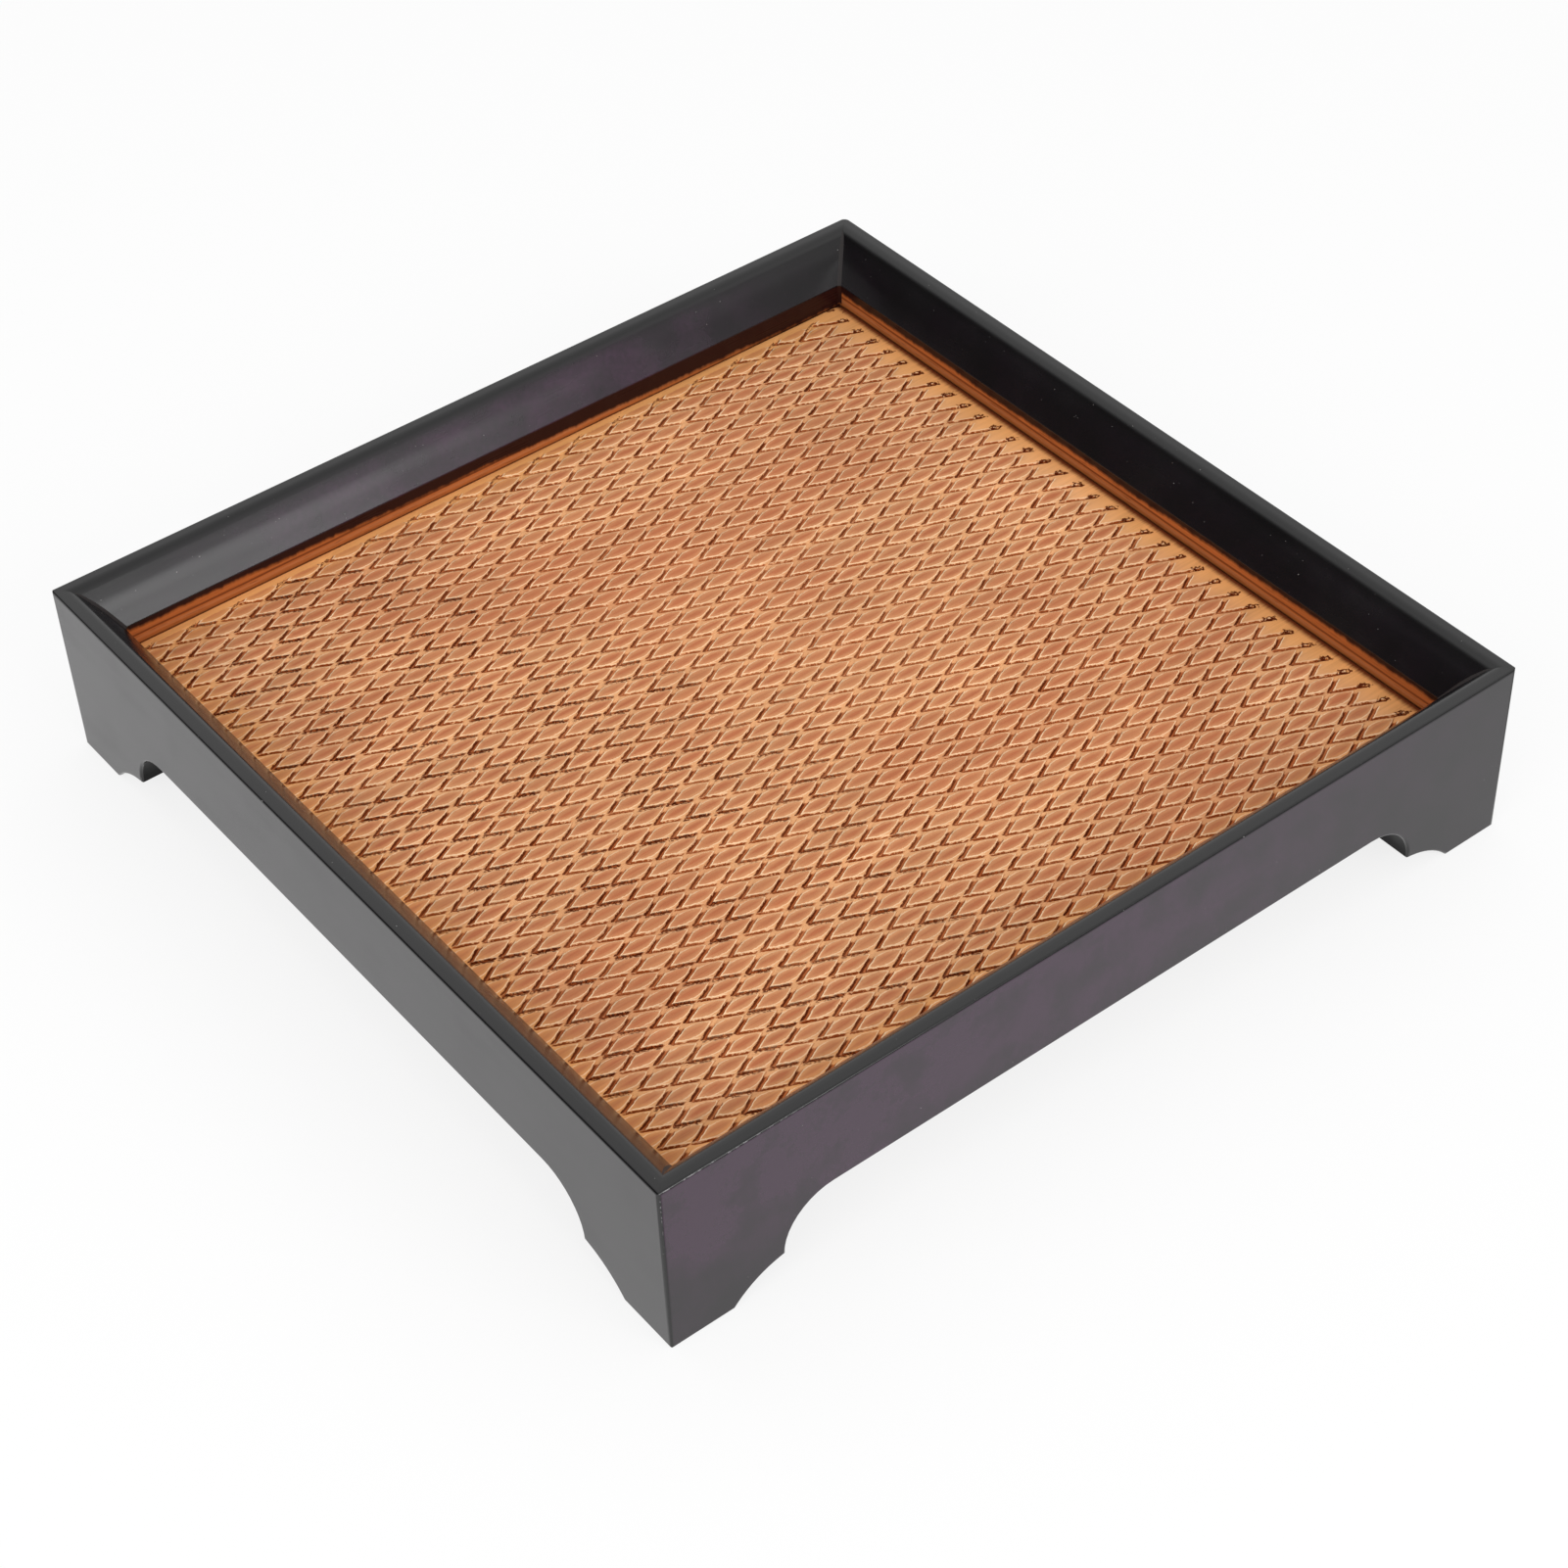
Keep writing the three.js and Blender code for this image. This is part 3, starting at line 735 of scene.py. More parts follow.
def bamboo_material(settings):
    """Carved bamboo: pink faces, pale shoulders, painted highlights and shade, burnt cuts, a stained edge.
    """
    material, wires, shader = principled_material("carved_bamboo")
    place = wires.coordinates("Object")
    x, y, z = wires.split(place)
    grain = effect(wires, wood_grain, place, seed=0.37)
    marks = effect(wires, handling_marks, place, seed=0.71)
    grit = wires.noise(place, 1500.0, 2.0)
    cloud = wires.noise(place, 20.0, 3.0)
    streak = wires.streaks(place, 70.0, 900.0, 2.0)
    from_lit = wires.distance(wires.vector("SUBTRACT", place, LIT_MIDDLE))

    lattice = wires.attribute("lattice")
    ragged = wires.swing(wires.noise(place, 1500.0, 3.0, output="Color"), (0.12, 0.05, 0.0))
    bent = wires.swing(wires.noise(place, 420.0, 1.0, output="Color"), (0.07, 0.07, 0.0))
    strayed = wires.vector("ADD", lattice, wires.vector("ADD", ragged, bent))
    ahead, across, _flat = wires.split(strayed)
    area = carved_area(settings)
    masks = carving_masks(wires, ahead, across, area)
    rough_side = wires.add(x, wires.sway(wires.noise(place, 16.0, 2.0), 260 * MM))
    torn = wires.times(
        torn_nicks(wires, ahead, across, area, grit), wires.fall(rough_side, -60 * MM, 20 * MM)
    )
    chance = wires.chance(wires.vector("FLOOR", lattice))
    # Painted shade in the cuts is fainter in the painted pool of light about LIT_MIDDLE.
    faint = wires.span(from_lit, 30 * MM, 120 * MM, 0.8, 1.0)
    strength = wires.times(wires.span(wires.noise(place, 60.0, 2.0), 0.3, 0.7, 0.75, 1.0), faint)
    # Cut walls in burnt colour and painted shade, fainter in the painted pool of light; bruises and torn
    # fibre are marks.
    nick = wires.times(masks["nick"], strength, wires.span(grit, 0.36, 0.56, 0.5, 1.0))
    bruise = border_tips(wires, ahead, across, settings, grit)
    burnt_and_shaded = wires.most(wires.times(masks["slot"], strength), bruise, torn)
    cut = wires.most(burnt_and_shaded, nick)

    field_half = TRAY_WIDTH / 2 - RAIL_THICKNESS - settings.field_gap
    from_edge = wires.minus(field_half, wires.most(wires.size(x), wires.size(y)))
    border = wires.fall(wires.add(from_edge, wires.sway(cloud, 14 * MM)), 2 * MM, 12 * MM)
    patch = wires.span(wires.streaks(place, 13.0, 24.0, 3.0), 0.45, 0.65)
    face = wires.times(
        masks["face"],
        wires.span(chance, 0.0, 1.0, 0.85, 1.05),
        wires.span(streak, 0.3, 0.7, 0.75, 1.1),
        wires.span(border, 0.0, 1.0, 1.0, 0.7),
    )
    fray = wires.sway(grain["Fibre"], 1.2 * MM)
    # Dark edge: stain and painted shade at the outline and along the right-hand edge, and painted shade from
    # just below the top, down the field's side and over the rebate.
    stain_and_shade = wires.most(
        wires.span(wires.add(from_edge, fray), 0.0, 0.6 * MM, 0.35, 0.0),
        wires.fall(wires.add(wires.minus(field_half, x), fray), 0.6 * MM, 2.6 * MM),
        wires.fall(z, BOARD_TOP - 1.5 * MM, BOARD_TOP - 0.9 * MM),
    )
    # Tone: a painted pool of light about LIT_MIDDLE, with grain, streaks and random tone.
    level = wires.add(
        wires.span(from_lit, 30 * MM, 160 * MM, 1.03, 0.93),
        wires.sway(grain["Streak"], 0.1),
        wires.sway(grain["Fibre"], 0.3),
        wires.sway(streak, 0.2),
        wires.sway(cloud, 0.3),
        wires.sway(chance, 0.07),
    )

    base = wires.mix(wires.times(border, 0.75), settings.shoulder, settings.border)
    for share, colour_over in (
        (wires.times(patch, wires.inverse(border), 0.4), settings.face),
        (face, settings.face),
        (wires.times(masks["rim"], 0.8), settings.lip),
        (wires.times(masks["lip"], 0.85), settings.lip),
        (wires.times(masks["ground"], faint, 0.95), settings.slot_floor),
        (nick, settings.nick),
        (burnt_and_shaded, settings.cut),
    ):
        base = wires.mix(share, base, colour_over)
    base = wires.mix(stain_and_shade, wires.tint(base, level), settings.edge)
    roughness = wires.weigh(0.34, (cut, 0.35), (marks["Rub"], 0.08), (grain["Fibre"], 0.12))
    relief = wires.weigh(
        0.0, (masks["raised"], 0.1), (grain["Fibre"], 0.03), (marks["Ripple"], 0.03), (cut, -0.06)
    )
    dress(wires, shader, base, roughness, relief, MM, ior=1.45, specular=0.08)
    return material


def hardwood_material():
    """Bare hardwood of the hidden splines, its grain across the mitre."""
    material, wires, shader = principled_material("bare_hardwood")
    grain = effect(wires, wood_grain, wires.coordinates("Object"), seed=0.13)
    base = wires.tint(HARDWOOD, wires.weigh(0.75, (grain["Streak"], 0.3), (grain["Fibre"], 0.2)))
    base = wires.mix(wires.times(grain["Pore"], 0.5), base, HARDWOOD_PORE)
    roughness = wires.weigh(0.5, (grain["Fibre"], 0.2))
    dress(wires, shader, base, roughness, grain["Fibre"], 0.05 * MM)
    return material


def add_object(name, data):
    """Links a mesh, a lamp or a camera into the scene as a new object."""
    made = bpy.data.objects.new(name, data)
    bpy.context.scene.collection.objects.link(made)
    return made


def finished(built, name):
    """Turns a mesh that is being built into a plain one."""
    made = bpy.data.meshes.new(name)
    built.to_mesh(made)
    built.free()
    return made


def evaluated_mesh(item):
    """The plain mesh that an object's modifiers give."""
    graph = bpy.context.evaluated_depsgraph_get()
    shaped = item.evaluated_get(graph)
    return bpy.data.meshes.new_from_object(shaped, preserve_all_data_layers=True, depsgraph=graph)


def settle(item):
    """Applies an object's modifiers to its mesh and removes them."""
    plain = evaluated_mesh(item)
    item.modifiers.clear()
    rough = item.data
    item.data = plain
    bpy.data.meshes.remove(rough)


def set_piece(item, slot, *nodes):
    """Makes an object a piece of the tray that stands for the given nodes."""
    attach(item, "root")
    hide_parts(*nodes)


def eased_corner(before, corner, after, radius, steps):
    """Points of an arc that rounds one corner of a path in a plane."""
    point = Vector(corner)
    incoming = (Vector(before) - point).normalized()
    outgoing = (Vector(after) - point).normalized()
    half_angle = incoming.angle(outgoing) / 2
    centre = point + (incoming + outgoing).normalized() * (radius / math.sin(half_angle))
    start = point + incoming * (radius / math.tan(half_angle))
    end = point + outgoing * (radius / math.tan(half_angle))
    first = start - centre
    turn = first.angle_signed(end - centre)
    arc = []
    for step in range(steps + 1):
        arc.append(centre + Matrix.Rotation(-turn * step / steps, 2) @ first)
    return arc


def foot_outline(settings, half_length, steps=10):
    """Lower outline of a rail: points from end to end, each with its direction into the wood."""
    sole = settings.foot_flat
    cusp = Vector((sole + settings.cusp_reach, settings.cusp_height))
    upper_radius = settings.apron_height - settings.cusp_height
    upper_centre = cusp + Vector((upper_radius, 0.0))
    heel = Vector((sole, 0.0))
    run = cusp - heel
    hollow = settings.cove_depth
    lower_radius = run.length_squared / (8 * hollow) + hollow / 2
    away = Vector((run.y, -run.x)).normalized()
    lower_centre = heel + run / 2 + away * (lower_radius - hollow)
    half_turn = math.asin(run.length / (2 * lower_radius))
    left = [(heel, Vector((-0.5, 1.0)))]
    for step in range(1, steps):
        ray = Matrix.Rotation(half_turn * (1 - 2 * step / steps), 2) @ -away
        left.append((lower_centre + ray * lower_radius, ray))
    left.append((cusp, Vector((-1.0, 1.0))))
    for step in range(1, steps + 1):
        angle = math.pi - math.pi / 2 * step / steps
        ray = Vector((math.cos(angle), math.sin(angle)))
        left.append((upper_centre + ray * upper_radius, ray))
    outline = [(Vector((point.x - half_length, point.y)), inward) for point, inward in left]
    for point, inward in reversed(left):
        outline.append((Vector((half_length - point.x, point.y)), Vector((-inward.x, inward.y))))
    return outline


def rail_levels(settings, rounds=()):
    """Section of a rail as levels inward from the outer face: depth, top height, easing, wear and highlight.
    """
    radius = settings.arris_radius
    low = TRAY_HEIGHT / 2
    bevel_foot = TRAY_HEIGHT - settings.bevel_drop
    slope = Vector((RAIL_THICKNESS - settings.rim_width, -settings.bevel_drop))
    middle = Vector((settings.rim_width, TRAY_HEIGHT)) + slope / 2
    fall = Vector((-slope.y, slope.x)).normalized()
    path = (
        (0.0, low),
        (0.0, TRAY_HEIGHT),
        (settings.rim_width, TRAY_HEIGHT),
        middle + fall * settings.bevel_crown,
        (RAIL_THICKNESS, bevel_foot),
        (RAIL_THICKNESS, low),
    )
    crown_radius = 0.33 * slope.length**2 / (4 * settings.bevel_crown)
    radii = (radius, settings.bevel_head, crown_radius, settings.bevel_foot)
    top = []
    for before, corner, after, rounding in zip(path, path[1:], path[2:], radii):
        top += eased_corner(before, corner, after, rounding, EDGE_STEPS)

    def easing(depth):
        """How far the lower outline is drawn into the wood at a depth."""
        near = max(min(depth, RAIL_THICKNESS - depth), 0.0)
        if near >= radius:
            return 0.0
        return radius - math.sqrt(radius**2 - (radius - near) ** 2)

    def wear(depth):
        """1 along the outer top edge, where hands rub and a highlight is painted, and 0 away from it."""
        return max(1.0 - abs(depth / radius - 0.25) / 0.35, 0.0)

    extra = [corner_depth(rounding) for rounding in rounds]
    for degrees in (0, 30, 50):
        extra.append(RAIL_THICKNESS - radius * (1 - math.sin(math.radians(degrees))))
    for depth in extra:
        spot = next(i for i, point in enumerate(top) if point.x > depth)
        share = (depth - top[spot - 1].x) / (top[spot].x - top[spot - 1].x)
        top.insert(spot, top[spot - 1].lerp(top[spot], share))
    return [(point.x, point.y, easing(point.x), wear(point.x)) for point in top]


def corner_depth(radius):
    """Depth at which an upright corner of a radius meets the mitre."""
    return radius * (1 - math.sqrt(0.5))


def rail_rings(mesh, levels, outline, ends):
    """Adds a ring of points for each level of a rail, from its top left end round its lower side."""
    arris = mesh.verts.layers.float.new("arris")
    rings = []
    for depth, top, easing, wear in levels:
        left, right = ends(depth)
        path = [(left, top), (left, easing)]
        path += [tuple(point + inward * easing) for point, inward in outline]
        path += [(right, easing), (right, top)]
        ring = [mesh.verts.new((along, depth, height)) for along, height in path]
        for vert in ring:
            vert[arris] = wear if vert.co.z > TRAY_HEIGHT / 2 else 0.0
        rings.append(ring)
    return rings


def cover_rail(mesh, settings, rings, levels, mitre_starts):
    """Adds the faces between a rail's rings, up to the mitred ends, and its outer face."""
    count = len(rings[0])
    mitred = {0: mitre_starts[0], count - 2: mitre_starts[1]}
    for near, far, level in zip(rings, rings[1:], levels[1:]):
        depth = level[0]
        sawn = settings.arris_radius < depth < RAIL_THICKNESS - settings.arris_radius * 0.99
        for index in range(count):
            if depth > mitred.get(index, math.inf):
                continue
            following = (index + 1) % count
            face = mesh.faces.new((near[index], near[following], far[following], far[index]))
            if sawn and 0 < index < count - 2:
                face.material_index = SAWN
    mesh.faces.new(reversed(rings[0]))


def groove_rail(mesh, settings, rings, levels, mitre_starts, ends):
    """Adds a rail's inner face with the groove for the board, and its mitred ends."""
    inner = rings[-1]
    floor_depth = RAIL_THICKNESS - settings.groove_depth
    section = (
        (RAIL_THICKNESS, settings.groove_high),
        (floor_depth, settings.groove_high),
        (floor_depth, settings.groove_low),
        (RAIL_THICKNESS, settings.groove_low),
    )
    grooves = []
    for end in (0, 1):
        grooves.append([mesh.verts.new((ends(depth)[end], depth, height)) for depth, height in section])
    left, right = grooves
    for index in range(len(section) - 1):
        mesh.faces.new((left[index], right[index], right[index + 1], left[index + 1]))
    bare = mesh.faces.new((inner[0], inner[-1], right[0], left[0]))
    bare.material_index = BARE
    mesh.faces.new([left[-1], right[-1]] + list(reversed(inner[1:-1])))
    for end, (head, foot) in enumerate(((0, 1), (-1, -2))):
        start = next(i for i, level in enumerate(levels) if level[0] > mitre_starts[end]) - 1
        top = [ring[head] for ring in rings[start:]]
        bottom = [ring[foot] for ring in rings[start:]]
        mesh.faces.new(top + grooves[end] + list(reversed(bottom)))


def mark_rail(mesh, half_length, stains, thinness, apart):
    """Stores each point's finish, and its place, moved apart so that no two rails are marked alike."""
    place = mesh.verts.layers.float_vector.new("rail_place")
    finish = mesh.verts.layers.float_vector.new("rail_finish")
    arris = mesh.verts.layers.float["arris"]
    for vert in mesh.verts:
        share = vert.co.x / (2 * half_length) + 0.5
        stain, thin = (left + (right - left) * share for left, right in (stains, thinness))
        vert[place] = vert.co + Vector((apart, 0.0, 0.0))
        vert[finish] = (vert[arris], stain, thin)


def rail_mesh(settings, name, half_length, rounds, stains, thinness, apart):
    """One rail along X, in its own frame of (along, depth from the outer face, height)."""
    levels = rail_levels(settings, rounds)
    mitre_starts = [corner_depth(radius) + PAST_ROUND for radius in rounds]

    def end_inset(depth, end):
        """How far a rail's end lies from the tray's corner at a depth: the round, then the mitre."""
        if depth >= mitre_starts[end]:
            return depth + settings.mitre_gap
        corner = rounds[end]
        return corner - math.sqrt(corner**2 - (corner - depth) ** 2) + settings.mitre_gap

    def ends(depth):
        """Where a rail starts and stops at a depth."""
        return end_inset(depth, 0) - half_length, half_length - end_inset(depth, 1)

    mesh = bmesh.new()
    rings = rail_rings(mesh, levels, foot_outline(settings, half_length), ends)
    cover_rail(mesh, settings, rings, levels, mitre_starts)
    groove_rail(mesh, settings, rings, levels, mitre_starts, ends)
    bmesh.ops.recalc_face_normals(mesh, faces=mesh.faces)
    mark_rail(mesh, half_length, stains, thinness, apart)
    return finished(mesh, name)


def spline_room(settings, half_length, side):
    """A block as large as the room for a hidden spline at one end of a rail."""
    block = bmesh.new()
    bmesh.ops.create_cube(block, size=1.0)
    height = settings.spline_high - settings.spline_low
    middle = Vector((
        side * (half_length - settings.spline_setback),
        settings.spline_setback,
        settings.spline_low + height / 2,
    ))
    size = Matrix.Diagonal((settings.spline_width, settings.spline_thickness, height, 1.0))
    turn = Matrix.Rotation(side * math.radians(45), 4, "Z")
    bmesh.ops.transform(block, matrix=Matrix.Translation(middle) @ turn @ size, verts=block.verts)
    return add_object("spline_room", finished(block, "spline_room"))


def cut_away(item, cutter):
    """Cuts one object's solid out of another and deletes the cutter."""
    cut = item.modifiers.new("cut", "BOOLEAN")
    cut.operation = "DIFFERENCE"
    cut.solver = "EXACT"
    cut.object = cutter
    settle(item)
    spent = cutter.data
    bpy.data.objects.remove(cutter)
    bpy.data.meshes.remove(spent)


def soften(item, angle):
    """Shades a piece smooth up to an angle, with its flat faces kept flat by their size."""
    item.data.shade_smooth()
    item.data.set_sharp_from_angle(angle=angle)
    weighted = item.modifiers.new("flats", "WEIGHTED_NORMAL")
    weighted.keep_sharp = True
    weighted.mode = "FACE_AREA"
    settle(item)


class TeaTrayRails(bpy.types.Operator):
    """Makes the four lacquered rails with their bracket feet, grooves and mitred ends."""

    bl_idname = "tea_tray.rails"
    bl_label = "Rails"

    def execute(self, context):
        settings = context.scene.tea_tray_rails
        lacquer = lacquer_material(settings, "black_lacquer", 0.5, 0.0)
        sawn = lacquer_material(settings, "sawn_lacquer", 0.12, 0.3)
        bare = bare_edge_material(settings)
        for name, quarter, stains, thinness in RAILS:
            runs_across = quarter % 2 == 0
            half_length = (TRAY_WIDTH if runs_across else TRAY_DEPTH) / 2
            half_away = (TRAY_DEPTH if runs_across else TRAY_WIDTH) / 2
            rounds = (settings.corner_radii[quarter], settings.corner_radii[(quarter + 1) % 4])
            apart = quarter * 2 * TRAY_WIDTH
            made = rail_mesh(settings, name, half_length, rounds, stains, thinness, apart)
            item = add_object("lacquered_" + name, made)
            for material in (lacquer, bare, sawn):
                item.data.materials.append(material)
            for side in (-1, 1):
                cut_away(item, spline_room(settings, half_length, side))
            turn = Matrix.Rotation(QUARTER_TURN * quarter, 4, "Z")
            item.data.transform(turn @ Matrix.Translation((0.0, -half_away, 0.0)))
            soften(item, RAIL_SMOOTH)
            set_piece(item, "black_lacquer", name)
        return {"FINISHED"}


def fillet_mesh(settings):
    """Lacquer gathered down the front left inner corner, as a closed bead with an amber foot."""
    mesh = bmesh.new()
    rings = []
    for depth, top, _easing, _wear_and_highlight in rail_levels(settings):
        if depth < settings.rim_width:
            continue
        width = settings.fillet_width * min(1.0, (depth - settings.rim_width) / BEAD_RUN_IN + BEAD_START)
        corner = Vector((depth - TRAY_WIDTH / 2, depth - TRAY_DEPTH / 2, top))
        hollow = width * BEAD_HOLLOW
        spread = ((width, 0.0, 0.0), (hollow, hollow, 0.0), (0.0, width, 0.0), -BEAD_SINK)
        rings.append([mesh.verts.new(corner + Vector(offset)) for offset in spread])
    rings.append([mesh.verts.new((vert.co.x, vert.co.y, BOARD_TOP)) for vert in rings[-1]])
    for near, far in zip(rings, rings[1:]):
        for index in range(4):
            following = (index + 1) % 4
            face = mesh.faces.new((near[index], near[following], far[following], far[index]))
            face.material_index = BARE if far is rings[-1] else LACQUERED
    mesh.faces.new(rings[0])
    mesh.faces.new(reversed(rings[-1]))
    bmesh.ops.recalc_face_normals(mesh, faces=mesh.faces)
    return finished(mesh, "mitre_fillet")


class TeaTrayFillets(bpy.types.Operator):
    """Makes the beads of lacquer gathered in the four inner corners."""

    bl_idname = "tea_tray.fillets"
    bl_label = "Corner fillets"

    def execute(self, context):
        settings = context.scene.tea_tray_rails
        for quarter, (corner, rub_and_highlight, stain) in enumerate(CORNERS):
            item = add_object("lacquer_fillet_" + corner, fillet_mesh(settings))
            for material in ("black_lacquer", "amber_edge"):
                item.data.materials.append(bpy.data.materials[material])
            place = item.data.attributes.new("rail_place", "FLOAT_VECTOR", "POINT")
            finish = item.data.attributes.new("rail_finish", "FLOAT_VECTOR", "POINT")
            for vert in item.data.vertices:
                place.data[vert.index].vector = vert.co + Vector((0.0, TRAY_DEPTH / 2, 0.0))
                # The bead's first value paints it pale: lacquer pale from rubbing and a painted highlight.
                finish.data[vert.index].vector = (rub_and_highlight, stain, min(rub_and_highlight, BEAD_THINNESS))
            item.data.transform(Matrix.Rotation(QUARTER_TURN * quarter, 4, "Z"))
            soften(item, BEAD_SMOOTH)
            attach(item, "root")
        return {"FINISHED"}


class FieldWiring(Wiring):
    """Wires the carved field: the tree's own inputs and the steps that lay and shape the field."""

    def __init__(self, tree):
        super().__init__(tree)
        self.given = self.node("NodeGroupInput").outputs

    def place(self):
        return self.node("GeometryNodeInputPosition").outputs[0]

    def placed(self, field, target):
        return self.node("GeometryNodeSetPosition", {"Geometry": field, "Position": target}).outputs[0]

    def merged(self, field):
        inputs = {"Geometry": field, "Distance": MERGE_DISTANCE}
        return self.node("GeometryNodeMergeByDistance", inputs).outputs[0]

    def realized(self, field):
        return self.node("GeometryNodeRealizeInstances", {0: field}).outputs[0]

    def grid(self, size, lines):
        inputs = {"Size X": size, "Size Y": size, "Vertices X": lines, "Vertices Y": lines}
        return self.node("GeometryNodeMeshGrid", inputs).outputs[0]

    def on_board(self, ahead, across):
        """Place on the board of a point given along the two families of cuts."""
        column, row = column_and_row(self, ahead, across)
        x = self.times(column, self.given["Diamond Length"])
        y = self.times(row, self.given["Diamond Width"])
        return self.join(x, y, 0.0)

    def drawn_in(self, value):
        """Moves a diamond's even mesh lines to the lips and floors of its cuts."""
        curve = self.node("ShaderNodeFloatCurve", {"Value": self.add(value, 0.5)})
        points = curve.mapping.curves[0].points
        for step, line in enumerate(CELL_LINES[1:-1], start=1):
            points.new(step / (len(CELL_LINES) - 1), line)
        for point in points:
            point.handle_type = "VECTOR"
        curve.mapping.update()
        return self.minus(curve.outputs[0], 0.5)

    def near(self, value, limit, margin):
        return self.math("LESS_THAN", self.size(value), self.add(limit, margin))

    def laid_diamonds(self):
        """Copies of one diamond's mesh over the whole field, joined at their sides."""
        given = self.given
        ahead, across, _flat = self.split(self.place())
        aside = self.join(given["Shift Right"], self.times(given["Shift Front"], -1.0), 0.0)
        middles = self.grid(self.minus(given["Lines"], 1.0), given["Lines"])
        middles = self.placed(middles, self.vector("ADD", self.on_board(ahead, across), aside))
        diamond = self.grid(1.0, len(CELL_LINES))
        diamond = self.placed(diamond, self.on_board(self.drawn_in(ahead), self.drawn_in(across)))
        x, y, _flat = self.split(self.place())
        wanted = self.times(
            self.near(x, given["Half Width"], given["Diamond Length"]),
            self.near(y, given["Half Depth"], given["Diamond Width"]),
        )
        inputs = {"Points": middles, "Selection": wanted, "Instance": diamond}
        return self.merged(self.realized(self.node("GeometryNodeInstanceOnPoints", inputs).outputs[0]))

    def numbered(self, field):
        """Stores each point's place along the two families of cuts."""
        given = self.given
        x, y, _flat = self.split(self.place())
        column = self.over(self.minus(x, given["Shift Right"]), given["Diamond Length"])
        row = self.over(self.add(y, given["Shift Front"]), given["Diamond Width"])
        lattice = self.join(self.add(row, column), self.minus(row, column), 0.0)
        return self.node(
            "GeometryNodeStoreNamedAttribute",
            {"Geometry": field, "Name": "lattice", "Value": lattice},
            data_type="FLOAT_VECTOR",
            domain="POINT",
        ).outputs[0]

    def trimmed(self, field):
        """Draws what lies past the field's sides in to them and deletes the faces left empty."""
        x, y, _flat = self.split(self.place())
        held = []
        for value, limit in ((x, self.given["Half Width"]), (y, self.given["Half Depth"])):
            held.append(self.most(self.least(value, limit), self.times(limit, -1.0)))
        field = self.placed(field, self.join(*held, 0.0))
        area = self.node("GeometryNodeInputMeshFaceArea").outputs[0]
        inputs = {"Geometry": field, "Selection": self.math("LESS_THAN", area, EMPTY_FACE)}
        cleared = self.node("GeometryNodeDeleteGeometry", inputs, domain="FACE", mode="ALL")
        return self.merged(cleared.outputs[0])

    def ramp(self, value, full, end):
        """A straight fall from 1 to 0."""
        return self.span(value, full, end, 1.0, 0.0, soft=False)

    def cut_depth(self, place):
        """How deep the chisel has gone at each point."""
        given = self.given
        stored = self.node("GeometryNodeInputNamedAttribute", {"Name": "lattice"}, data_type="FLOAT_VECTOR")
        ahead, across, _flat = self.split(stored.outputs[0])
        area = [given[label] for label in ("First Column", "Last Column", "First Row", "Last Row")]
        slot_off = off_line(self, across)
        slot = self.times(
            self.ramp(slot_off, SLOT_FOOT, SLOT_LIP),
            self.ramp(slot_off, 0.0, CUT_LIP),
            slot_reach(self, ahead, across),
            within_carving(self, ahead, across, area, SLOT_SHORT),
            given["Slot Depth"],
        )
        nick_off = off_line(self, ahead)
        nick = self.times(
            self.ramp(nick_off, 0.0, SLOT_FOOT),
            self.ramp(nick_off, 0.0, CUT_LIP),
            nick_reach(self, ahead, across, area),
            given["Nick Depth"],
        )
        leaf, _long_way, _short_way = leaf_shape(self, ahead, across)
        whole = whole_diamond(self, ahead, across, area)
        saddle = self.times(self.span(leaf, 0.7, 1.5), whole, given["Saddle Drop"])
        pressure = self.span(self.noise(place, 130.0, 1.0), 0.3, 0.7, 0.7, 1.1, soft=False)
        inside = within_carving(self, ahead, across, area)
        return self.times(self.add(self.most(slot, nick), saddle), inside, pressure)

    def hand_stray(self, place, x, y):
        """How far the carving strays along X and Y at each point."""
        from_side = self.least(
            self.minus(self.given["Half Width"], self.size(x)),
            self.minus(self.given["Half Depth"], self.size(y)),
        )
        freedom = self.times(self.span(from_side, 0.0, STRAY_STRIP), self.given["Wander"])
        slow, quick = (
            self.split(self.swing(self.noise(place, scale, 0.0, output="Color"), (weight, weight, 0.0)))
            for scale, weight in ((SLOW_STRAY, SLOW_WEIGHT), (QUICK_STRAY, 1.0))
        )
        return [self.times(self.add(slow[axis], quick[axis]), freedom) for axis in (0, 1)]

    def corner_pull(self, x, y):
        """How far each point is drawn in along X and Y to round the field's corners."""
        given = self.given
        arms = []
        for value, limit in ((x, given["Half Width"]), (y, given["Half Depth"])):
            straight = self.minus(limit, given["Corner"])
            arms.append(self.most(self.minus(self.size(value), straight), 0.0))
        reach = self.math("SQRT", self.add(*(self.times(arm, arm) for arm in arms), NOT_ZERO))
        pull = self.inverse(self.over(self.most(*arms), reach))
        pull = self.times(pull, self.math("GREATER_THAN", self.least(*arms), 0.0))
        return [
            self.times(self.math("SIGN", value), arm, pull, -1.0) for value, arm in zip((x, y), arms)
        ]


